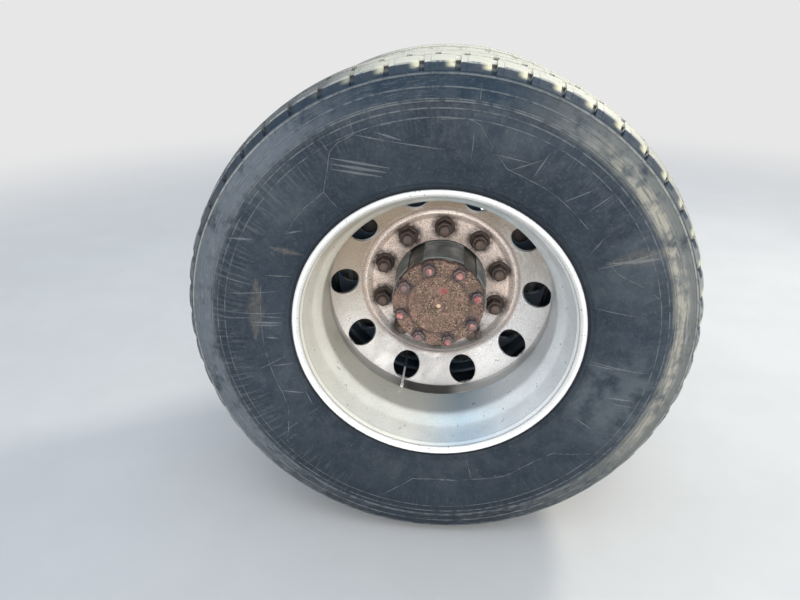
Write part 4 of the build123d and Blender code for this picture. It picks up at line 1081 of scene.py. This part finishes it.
# Rims: rolled section with a beaded lip, (radius, offset from the rim's centre, fillet)
RIM_CORNERS = (
    (0.2985, 0.1150, 0.0025), (0.2955, 0.1172, 0.0020), (0.2905, 0.1160, 0.0030), (0.2868, 0.1122, 0.0020),
    (0.2852, 0.1098, 0.0008), (0.2846, 0.1062, 0.0008), (0.2828, 0.1048, 0.0008), (0.2800, 0.1000, 0.006),
    (0.2680, 0.0570, 0.060), (0.2525, 0.0240, 0.035), (0.2525, -0.0560, 0.010), (0.2695, -0.0700, 0.012),
    (0.2800, -0.1010, 0.008), (0.2865, -0.1130, 0.004), (0.2930, -0.1172, 0.003), (0.2985, -0.1155, 0.002),
    (0.2985, -0.1098, 0.0015), (0.2915, -0.1070, 0.003), (0.28575, -0.1048, 0.003),
    (0.2755, -0.0670, 0.008), (0.2585, -0.0520, 0.010), (0.2585, 0.0260, 0.012), (0.2740, 0.0610, 0.020),
    (0.28575, 0.1048, 0.003), (0.2915, 0.1070, 0.003), (0.2985, 0.1098, 0.0015),
)
for wheel, side in SIDES:
    outline = [(r, side * (RIM_CENTRE + o)) for r, o in rounded(RIM_CORNERS, 6)]
    rim = lathe(f"rim_{wheel}_rolled", outline, PAINTS[wheel], segments=288, sharp=50.0)
    place(rim, "wheel", "wheel_paint", f"rim_{wheel}")


# Discs: (radius, w, fillet)
CONE_IN_R = 0.1895
CONE_OUT_R = 0.2616
CONE_FRONT = (0.0242, 0.0598)       # stations at the cone's two ends
CONE_BACK = (0.0152, 0.0494)
FACE_FRONT = (
    (0.1120, DISC_T, 0), (0.1650, DISC_T, 0.008), (0.1735, 0.0205, 0.006), (0.1795, 0.0258, 0.004),
    (0.1850, 0.0236, 0.004), (CONE_IN_R, CONE_FRONT[0], 0),
)
FACE_BACK = (
    (CONE_IN_R, CONE_BACK[0], 0), (0.1840, 0.0138, 0.006), (0.1720, 0.0058, 0.008), (0.1630, 0.0, 0.004),
    (0.1120, 0.0, 0),
)
BORE = ((0.1120, 0.0, 0), (BORE_R, 0.0015, 0), (BORE_R, DISC_T - 0.0015, 0), (0.1120, DISC_T, 0))
SKIRT = (
    (CONE_OUT_R, CONE_FRONT[1], 0), (0.2621, 0.0640, 0), (0.2621, 0.0955, 0.001), (0.2640, 0.0970, 0.001),
    (0.2680, 0.0970, 0.001), (0.2690, 0.0955, 0.001), (0.2682, 0.0640, 0.006), (0.2640, 0.0515, 0.006),
    (CONE_OUT_R, CONE_BACK[1], 0),
)
SECTOR = 2 * math.pi / STUD_COUNT
HOLE_CENTRE = Vector((0.0, HAND_HOLE_CIRCLE_R))
HOLE_STEPS = 48
HOLE_RINGS = (0.0, 0.0003, 0.0008, 0.0016)      # distances from a hand hole's wall, with its rounded edge
HOLE_LIMITS = (0.2604, 0.2607, 0.2610, 0.2613)  # how far out each of the rings may reach
HOLE_EDGE_FALL = 0.0007
HOLE_LEAN = 0.0039              # how far outwards a hole's back lies, as it is punched square to the cone


def compass(turn, reach=1.0):
    """A flat point at a distance, by its angle from the y axis."""
    return Vector((math.sin(turn), math.cos(turn))) * reach


def angle_of(flat):
    return math.atan2(flat.x, flat.y)


def on_cone(radius, ends):
    """Station of the cone at a radius, from its stations at both ends."""
    return ends[0] + (radius - CONE_IN_R) / (CONE_OUT_R - CONE_IN_R) * (ends[1] - ends[0])


def sector_edge(direction):
    """Where a ray from a hand hole's centre leaves its sector of the cone, as flat (x, y)."""
    ray = compass(direction)
    ahead = HOLE_CENTRE.dot(ray)
    reaches = []
    for radius in (CONE_IN_R, CONE_OUT_R):
        inside = ahead * ahead - (HOLE_CENTRE.length_squared - radius * radius)
        if inside > 0:
            reaches += [-ahead - math.sqrt(inside), -ahead + math.sqrt(inside)]
    for side in (1, -1):
        across = Vector((side * math.cos(SECTOR / 2), -math.sin(SECTOR / 2)))
        lean = ray.dot(across)
        if lean > 1e-9:
            reaches.append(-HOLE_CENTRE.dot(across) / lean)
    return HOLE_CENTRE + ray * min(reach for reach in reaches if reach > 1e-6)


def sector_directions():
    """Directions from the hole's centre, with the sector's four corners among them."""
    corners = [angle_of(compass(s * SECTOR / 2, radius) - HOLE_CENTRE) % (2 * math.pi)
               for radius in (CONE_IN_R, CONE_OUT_R) for s in (1, -1)]
    even = [2 * math.pi * k / HOLE_STEPS for k in range(HOLE_STEPS)]
    return sorted(corners + [d for d in even if all(abs(d - c) > 0.05 for c in corners)])


def disc_shell(side):
    """The whole disc as one closed shell, its cone meshed round the hand holes."""
    shell = bmesh.new()
    directions = sector_directions()
    edge = [sector_edge(d) for d in directions]

    def clock_of(flat, sector):
        return math.degrees(angle_of(flat) + SECTOR * sector) + HAND_HOLE_PHASE

    def ring(points, ends, sector, fall=0.0):
        spots = [(flat.length, clock_of(flat, sector), on_cone(flat.length, ends) - fall) for flat in points]
        return [shell.verts.new(at(radius, clock, side * w)) for radius, clock, w in spots]

    def strip(rows):
        for a, b in zip(rows, rows[1:]):
            join(shell, a, b)

    for sector in range(STUD_COUNT):
        loops = []
        for ends, sign, lean in ((CONE_FRONT, 1, 0.0), (CONE_BACK, -1, HOLE_LEAN)):
            rings = []
            for away, limit in zip(HOLE_RINGS, HOLE_LIMITS):
                middle = HOLE_CENTRE + Vector((0.0, lean))
                starts = [middle + compass(d, HAND_HOLE_R + away) for d in directions]
                starts = [flat * min(1.0, limit / flat.length) for flat in starts]
                fall = HOLE_EDGE_FALL * (1 - away / HOLE_RINGS[-1]) ** 2
                rings.append(ring(starts, ends, sector, sign * fall))
            for share in (0.12, 0.30, 0.62, 1.0):
                between = [start.lerp(end, share) for start, end in zip(starts, edge)]
                rings.append(ring(between, ends, sector))
            loops.append(rings)
        strip([*reversed(loops[0]), *loops[1]])

    for outline in (FACE_FRONT, FACE_BACK, BORE, SKIRT):
        radius = CONE_OUT_R if outline is SKIRT else CONE_IN_R
        on_circle = [flat for flat in edge if abs(flat.length - radius) < 1e-5]
        clocks = [clock_of(flat, sector) % 360.0 for sector in range(STUD_COUNT) for flat in on_circle]
        clocks = sorted({round(clock, 5) for clock in clocks})
        strip([[shell.verts.new(at(r, clock, side * w)) for clock in clocks] for r, w in rounded(outline)])
    return shell


for wheel, side in SIDES:
    shell = disc_shell(side)
    bmesh.ops.remove_doubles(shell, verts=shell.verts, dist=2e-5)
    disc = finish_mesh(f"disc_{wheel}_pressed", shell, PAINTS[wheel], 40.0)
    place(disc, "wheel", "wheel_paint", f"disc_{wheel}")


# Nuts and studs: a unit piece about the Y axis, and a tree that sets it round the wheel
NUT_SEGMENTS = 48
STUD_SEGMENTS = 24
THREAD_STEPS = 4
THREAD_PITCH = 0.0015
THREAD_DEPTH = 0.0008


def hexagon(apothem, limit=1.0):
    """Radius by angle of a hexagon, cut off at a limit where its corners are chamfered."""
    def radius(turn):
        return min(apothem / math.cos((turn + math.pi / 6) % (math.pi / 3) - math.pi / 6), limit)
    return radius


def about_y(shell, size, turn, w):
    return shell.verts.new((size * math.sin(turn), -w, size * math.cos(turn)))


def add_rings(shell, rings, segments, **ends):
    """Rings of (radius or radius by angle, w) about the Y axis, joined."""
    turns = [2 * math.pi * k / segments for k in range(segments)]
    made = []
    for size, w in rings:
        made.append([about_y(shell, size(turn) if callable(size) else size, turn, w) for turn in turns])
    join_rings(shell, made, **ends)


def add_thread(shell, radius, start, end):
    """A screw thread between two stations, as one spiral strip that ends flush at both."""
    rows = []
    for j in range(-THREAD_STEPS, round((end - start) / THREAD_PITCH * THREAD_STEPS) + 1):
        row = []
        for k in range(STUD_SEGMENTS + 1):
            w = start + THREAD_PITCH * (j / THREAD_STEPS + k / STUD_SEGMENTS)
            on_ridge = start < w < end and j % THREAD_STEPS in (1, 2)
            size = radius if on_ridge else radius - THREAD_DEPTH
            row.append(about_y(shell, size, 2 * math.pi * k / STUD_SEGMENTS, min(max(w, start), end)))
        rows.append(row)
    for a, b in zip(rows, rows[1:]):
        join(shell, a, b, closed=False)


def add_stud(shell, radius, start_rings, start, end, tip):
    """A stud: plain rings up to its thread, the thread, and a chamfered tip."""
    root = radius - THREAD_DEPTH
    add_rings(shell, [*start_rings, (radius, start), (root, start)], STUD_SEGMENTS, last_cap=False)
    add_thread(shell, radius, start, end)
    chamfer = ((root, end), (root * 0.94, tip - 0.0003), (root * 0.86, tip))
    add_rings(shell, chamfer, STUD_SEGMENTS, first_cap=False)


def ring_row_tree():
    """Sets a unit piece round the spin axis, each one turned a little by chance."""
    tree = bpy.data.node_groups.new("RingRow", "GeometryNodeTree")
    tree.is_modifier = True
    for label, kind in (("Unit", "Object"), ("Material", "Material"), ("Count", "Int"), ("Circle", "Float"),
                        ("Phase", "Float"), ("Loose Turn", "Float"), ("Seed", "Int")):
        tree.interface.new_socket(label, in_out="INPUT", socket_type="NodeSocket" + kind)
    tree.interface.new_socket("Geometry", in_out="OUTPUT", socket_type="NodeSocketGeometry")
    given = node(tree, "NodeGroupInput")
    share = node(tree, "GeometryNodeInputIndex") / given["Count"]
    turn = (share * 360.0 + given["Phase"]) * (math.pi / 180)
    front, up = turn.maths("SINE") * given["Circle"], turn.maths("COSINE") * given["Circle"]
    spots = combined(tree, front, SPIN_Y, up)
    points = node(tree, "GeometryNodePoints", {"Count": given["Count"], "Position": spots})
    unit = node(tree, "GeometryNodeObjectInfo", {"Object": given["Unit"]})["Geometry"]
    limits = {2: given["Loose Turn"] * -1.0, 3: given["Loose Turn"], 8: given["Seed"]}
    chance = node(tree, "FunctionNodeRandomValue", limits, data_type="FLOAT")[1]
    aim = node(tree, "FunctionNodeEulerToRotation", {"Euler": combined(tree, 0.0, turn + chance, 0.0)})
    row = node(tree, "GeometryNodeInstanceOnPoints", {"Points": points, "Instance": unit, "Rotation": aim})
    real = node(tree, "GeometryNodeRealizeInstances", {"Geometry": row})
    coated = node(tree, "GeometryNodeSetMaterial", {"Geometry": real, "Material": given["Material"]})
    node(tree, "NodeGroupOutput", {"Geometry": coated})
    return tree


RING_ROW = ring_row_tree()


def ring_row(name, shell, material, count, circle, phase, loose, seed):
    """The plain mesh object that the tree makes of one unit."""
    unit = finish_mesh(f"{name}_unit", shell, material, 32.0)
    base = add_object(f"{name}_base", bpy.data.meshes.new(f"{name}_base"))
    modifier = base.modifiers.new("row", "NODES")
    modifier.node_group = RING_ROW
    values = {"Unit": unit, "Material": material, "Count": count, "Circle": circle, "Phase": phase,
              "Loose Turn": loose, "Seed": seed}
    for socket in RING_ROW.interface.items_tree:
        if socket.in_out == "INPUT":
            modifier[socket.identifier] = values[socket.name]
    bpy.context.view_layer.update()
    graph = bpy.context.evaluated_depsgraph_get()
    mesh = bpy.data.meshes.new_from_object(base.evaluated_get(graph), depsgraph=graph)
    base.modifiers.remove(modifier)
    bpy.data.objects.remove(base)
    bpy.data.objects.remove(unit)
    return add_object(name, mesh)


# Nuts and a stud's head: (radius, w)
LUG_NUT = (
    (0.0112, 0.0110), (0.0235, 0.0110), (0.0235, 0.0134), (0.0228, 0.0144), (0.0210, 0.0152),
    (0.0205, 0.0164), (hexagon(0.0165, 0.0204), 0.0170), (hexagon(0.0165), 0.0178),
    (hexagon(0.0165), 0.0382), (hexagon(0.0165, 0.0184), 0.0387), (hexagon(0.0165, 0.0177), 0.0392),
    (hexagon(0.0165, 0.0170), 0.0396), (0.0163, 0.0400), (0.0126, 0.0400), (0.0112, 0.0390),
)
LUG_HEAD = ((0.0148, -0.0500), (0.0160, -0.0492), (0.0160, -0.0420), (0.0110, -0.0420))
FLANGE_NUT = (
    (0.0081, 0.1380), (0.0128, 0.1380), (0.0128, 0.1396), (hexagon(0.0120, 0.0128), 0.1402),
    (hexagon(0.0120), 0.1408), (hexagon(0.0120), 0.1508), (hexagon(0.0120, 0.0131), 0.1513),
    (hexagon(0.0120, 0.0125), 0.1517), (0.0119, 0.1520), (0.0092, 0.1520), (0.0081, 0.1510),
)
FLANGE_STUD_FOOT = ((0.0070, 0.0920), (0.0080, 0.0930))
WHEEL_RING = (STUD_COUNT, STUD_CIRCLE_R, STUD_PHASE)
FLANGE_RING = (FLANGE_STUDS, FLANGE_STUD_CIRCLE_R, FLANGE_PHASE)

shell = bmesh.new()
add_rings(shell, LUG_NUT, NUT_SEGMENTS, looped=True)
lug_nuts = ring_row("lug_nuts", shell, NUT_STEEL, *WHEEL_RING, 0.5, 3)
place(lug_nuts, "wheel", "rusty_fasteners", "wheel_nuts")

shell = bmesh.new()
add_stud(shell, 0.0110, LUG_HEAD, 0.0385, 0.0475, 0.0490)
lug_studs = ring_row("lug_studs", shell, STUD_STEEL, *WHEEL_RING, 3.0, 5)
place(lug_studs, "wheel", "rusty_fasteners", "wheel_studs")

shell = bmesh.new()
add_rings(shell, FLANGE_NUT, NUT_SEGMENTS, looped=True)
add_stud(shell, 0.0080, FLANGE_STUD_FOOT, 0.1505, 0.1562, 0.1575)
flange_studs = ring_row("flange_studs", shell, TIPS, *FLANGE_RING, 0.5, 8)
place(flange_studs, "wheel", "flange_fasteners", "shaft_studs")

# Axle shaft: flange with its lobes, chipped edge and crust, plain shaft and splines; (radius, w)
SHAFT_OUTLINE = (
    (0.0, 0.1449), (0.0036, 0.1449), (0.0046, 0.1442), (0.0060, 0.1446),
    *((0.010 + 0.004 * k, 0.1448) for k in range(14)), (0.0655, 0.1449), (0.0670, 0.1445), (0.0690, 0.1425),
    (0.0715, 0.1396), (0.0732, 0.1382), (0.0760, 0.1379),
    *((0.0795 + 0.0035 * k, 0.1379) for k in range(6)), (0.1005, 0.1378), (0.1030, 0.1373),
    (0.1042, 0.1362), (0.1045, 0.1330), (0.1045, 0.1280), (0.1045, 0.1220), (0.1042, 0.1190),
    (0.1030, 0.1180), (0.0690, 0.1180), (0.0675, 0.1160), (0.0320, 0.1160), (0.0280, 0.1130),
    (0.0240, 0.1000), (0.0240, -0.6200), (0.0260, -0.6240), (0.0260, -0.7060), (0.0220, -0.7100),
    (0.0, -0.7100),
)
FLANGE_R = 0.1045
FLANGE_RIM_R = 0.1020       # lobes and chips from here outwards
FLANGE_BACK_W = 0.117
RAISED_R = 0.0755           # the raised middle of the flange ends here
CENTRE_MARK_R = 0.008
LOBE_R = 0.0175
SPLINE_FRONT_W = -0.6235
SPLINES = 32
SPLINE_DEPTH = 0.0022
CRUST_DEPTH = 0.0013


def forged(radius, w, clock):
    """Lobes round the studs, chips and crust on the flange, and splines at the far end."""
    if w < SPLINE_FRONT_W and radius > 0.0225:
        tooth = abs((clock * SPLINES / 360.0) % 1.0 - 0.5) * 2
        return radius - SPLINE_DEPTH * min(max((tooth - 0.35) / 0.3, 0.0), 1.0), w
    if w < FLANGE_BACK_W or radius < CENTRE_MARK_R:
        return radius, w
    spot = at(radius, clock, w)
    if radius > FLANGE_RIM_R:
        pitch = 360.0 / FLANGE_STUDS
        turn = math.radians((clock - FLANGE_PHASE + pitch / 2) % pitch - pitch / 2)
        aside = FLANGE_STUD_CIRCLE_R * math.sin(turn)
        lobe = FLANGE_STUD_CIRCLE_R * math.cos(turn) + math.sqrt(max(LOBE_R ** 2 - aside ** 2, 0.0))
        chip = max(noise.noise(at(FLANGE_R, clock, 0) * 75.0) - 0.05, 0.0) * 0.0075
        chip += max(noise.noise(at(FLANGE_R, clock, 0.5) * 190.0), 0.0) * 0.0020
        radius += max(lobe - FLANGE_R, 0.0) - chip
    crust = noise.noise(spot * 90.0) * 0.5 + noise.noise(spot * 260.0) * 0.5
    if radius > RAISED_R:
        crust += max(noise.noise(spot * 45.0), 0.0) * 0.8
    return radius, w - CRUST_DEPTH * max(crust + 0.35, 0.0) if w > 0.130 else w


flange = lathe("axle_shaft_forged", SHAFT_OUTLINE, RUST_CRUST, 256, forged, 60.0)
place(flange, "wheel", "rusty_forging", "axle_shaft")


# Valves and the brake's return spring: tubes along a path
def tube(shell, path, radii, sides=16):
    """A round tube along points, with its own radius at each, capped at both ends."""
    rings = []
    normal = (path[1] - path[0]).orthogonal()
    for i, (point, radius) in enumerate(zip(path, radii)):
        along = (path[min(i + 1, len(path) - 1)] - path[max(i - 1, 0)]).normalized()
        normal = (normal - along * normal.dot(along)).normalized()
        aside = along.cross(normal)
        turns = [2 * math.pi * k / sides for k in range(sides)]
        spots = [point + (normal * math.cos(turn) + aside * math.sin(turn)) * radius for turn in turns]
        rings.append([shell.verts.new(spot) for spot in spots])
    join_rings(shell, rings)


# Valves: wheel, clock angle, corners as (radius, w)
VALVES = (
    ("outer", HAND_HOLE_PHASE, ((0.2522, 0.124), (0.2435, 0.124), (0.2435, 0.152))),
    ("inner", HAND_HOLE_PHASE + 180, ((0.2522, -0.132), (0.2410, -0.132), (0.2410, 0.020), (0.2460, 0.122))),
)
VALVE_FOOT = ((0.0041, 0.0090), (0.0055, 0.0042))       # distance along the valve where each radius ends
# Its cap, from the tip
VALVE_CAP = ((0.0, 0.0030), (0.0008, 0.0040), (0.0110, 0.0042), (0.0114, 0.0034), (0.0130, 0.0030))
VALVE_TUBE_R = 0.0027
VALVE_BEND_R = 0.008
VALVE_STEP = 0.002


def along_bends(corners):
    """Points at even steps along a line of (radius, w) corners with round bends."""
    points = [Vector(corner) for corner in corners]
    bent = points[:1]
    for before, here, after in zip(points, points[1:], points[2:]):
        reach = VALVE_BEND_R / math.tan((before - here).angle(after - here) / 2)
        bent += bend(before, here, after, reach, 6)
    bent.append(points[-1])
    path = [bent[0]]
    for start, end in zip(bent, bent[1:]):
        count = max(1, round((end - start).length / VALVE_STEP))
        path += [start.lerp(end, k / count) for k in range(1, count + 1)]
    return path


def valve_radius(from_foot, from_tip):
    for limit, radius in VALVE_FOOT:
        if from_foot < limit:
            return radius
    for (near, near_r), (far, far_r) in zip(VALVE_CAP, VALVE_CAP[1:]):
        if near <= from_tip < far:
            return near_r + (far_r - near_r) * (from_tip - near) / (far - near)
    return VALVE_TUBE_R


for wheel, clock, corners in VALVES:
    path = along_bends(corners)
    runs = [0.0]
    for start, end in zip(path, path[1:]):
        runs.append(runs[-1] + (end - start).length)
    shell = bmesh.new()
    tube(shell, [at(p.x, clock, p.y) for p in path], [valve_radius(run, runs[-1] - run) for run in runs])
    stem = finish_mesh(f"valve_{wheel}_stem", shell, NICKEL)
    place(stem, "wheel", "valve_metal", f"valve_{wheel}")

BRAKE_TURN = math.radians(165.0)
SPRING_X = 0.098
SPRING_W = -0.142
COIL_R = 0.0085
COIL_HALF = 0.0525
COIL_TAIL = 0.003
COIL_TURNS = 19
COIL_STEPS = 14
WIRE_R = 0.0024
WIRE_HALF = 0.106


def spring_path():
    """Wire of the return spring: straight end, coils, straight end."""
    along = Vector((-math.sin(BRAKE_TURN), 0.0, math.cos(BRAKE_TURN)))
    outward = Vector((math.cos(BRAKE_TURN), 0.0, math.sin(BRAKE_TURN)))
    middle = at(0.0, 0.0, SPRING_W) + outward * SPRING_X
    ends = (WIRE_HALF, COIL_HALF + COIL_TAIL)
    path = [middle - along * reach for reach in ends]
    count = COIL_TURNS * COIL_STEPS
    for k in range(count + 1):
        turn = 2 * math.pi * k / COIL_STEPS
        reach = COIL_R * min(2 * k / COIL_STEPS, 2 * (count - k) / COIL_STEPS, 1.0)
        spot = middle + along * COIL_HALF * (2 * k / count - 1)
        path.append(spot + (outward * math.cos(turn) + Vector((0, 1, 0)) * math.sin(turn)) * reach)
    return path + [middle + along * reach for reach in ends[::-1]]


shell = bmesh.new()
wire = spring_path()
tube(shell, wire, [WIRE_R] * len(wire), 8)
place(finish_mesh("return_spring_coil", shell, SPRING_STEEL), "axle_end", "spring_steel", "return_spring")

# Camera: position, and its turn as yaw to the front, pitch down and roll
CAMERA_AT = (0.0276, -2.0171, 0.5778)
yaw, pitch, roll = (math.radians(v) for v in (-5.29, 24.57, -0.47))
forward = Vector((math.sin(yaw) * math.cos(pitch), math.cos(yaw) * math.cos(pitch), -math.sin(pitch)))
level = Vector((math.cos(yaw), -math.sin(yaw), 0.0))
upright = level.cross(forward)
right = math.cos(roll) * level + math.sin(roll) * upright
top = -math.sin(roll) * level + math.cos(roll) * upright
lens = bpy.data.cameras.new("camera")
lens.lens = 27.36
lens.sensor_width = 36.0
lens.sensor_fit = "HORIZONTAL"
camera = add_object("camera", lens)
turned = Matrix((right, top, -forward)).transposed()
camera.matrix_world = Matrix.Translation(CAMERA_AT) @ turned.to_4x4()
bpy.context.scene.camera = camera

# Floor, lights and world
BACKDROP = (0.80, 0.80, 0.80)
FLOOR_REACH = 30.0
HUB_POINT = (0.0, SPIN_Y, 0.0)
SOFTBOXES = (
    # name, position, target, size, power, colour
    ("softbox_above", (0.6, -3.4, 3.6), HUB_POINT, (3.0, 2.4), 50, (1.0, 0.985, 0.96)),
    ("softbox_front", (0.5, -4.6, 0.35), HUB_POINT, (3.0, 1.8), 132, (1.0, 0.99, 0.975)),
    ("low_sun", (2.4, 0.9, 2.6), (0.1, -0.7, 0.3), (0.7, 0.7), 80, (1.0, 0.94, 0.82)),
)


def stage_material():
    """Pale floor that fades into the backdrop, and throws less light back than it shows."""
    f = Finish("stage_grey", roughness=0.95, specular=0.0)
    seen = seen_rays(f.tree)
    flat = object_point(f.tree).vector("MULTIPLY", (1.0, 1.0, 0.0))
    far = ease(flat.vector("LENGTH")["Value"], 1.6, 5.5)
    pale = f.mix(f.patches(3.0, 0.3, 0.7), (0.61, 0.605, 0.59), (0.64, 0.635, 0.62))
    f.base = f.mix(seen, (0.30, 0.285, 0.265), pale)
    f.coat(far, (0.0, 0.0, 0.0))
    f.feed("Emission Color", f.mix(far * seen, (0.0, 0.0, 0.0), BACKDROP))
    f.shader["Emission Strength"].default_value = 1.0
    return f.done()


shell = bmesh.new()
floor_z = cad_box[0][2]
signs = ((-1, 1), (-1, -1), (1, -1), (1, 1))
shell.faces.new([shell.verts.new((x * FLOOR_REACH, y * FLOOR_REACH, floor_z)) for x, y in signs])
finish_mesh("floor", shell, stage_material())

for name, position, target, size, power, colour in SOFTBOXES:
    lamp = bpy.data.lights.new(name, "AREA")
    lamp.shape = "RECTANGLE"
    lamp.size, lamp.size_y = size
    lamp.energy = power
    lamp.color = colour
    aim = Vector(target) - Vector(position)
    turned = aim.to_track_quat("-Z", "Y").to_matrix().to_4x4()
    add_object(name, lamp).matrix_world = Matrix.Translation(position) @ turned

world = bpy.data.worlds.new("studio")
bpy.context.scene.world = world
world.use_nodes = True
sky = world.node_tree
height = node(sky, "ShaderNodeSeparateXYZ", {"Vector": node(sky, "ShaderNodeTexCoord")["Generated"]})["Z"]
ground = mixed(sky, ease(height, -0.05, 0.08), (0.17, 0.165, 0.155), (0.42, 0.445, 0.48))
dome = mixed(sky, ease(height, 0.05, 0.7), ground, (0.66, 0.76, 0.90))
shown = mixed(sky, seen_rays(sky), dome, BACKDROP)
sky.links.new(shown.socket, sky.nodes["Background"].inputs["Color"])
bpy.context.scene.view_settings.view_transform = "Standard"
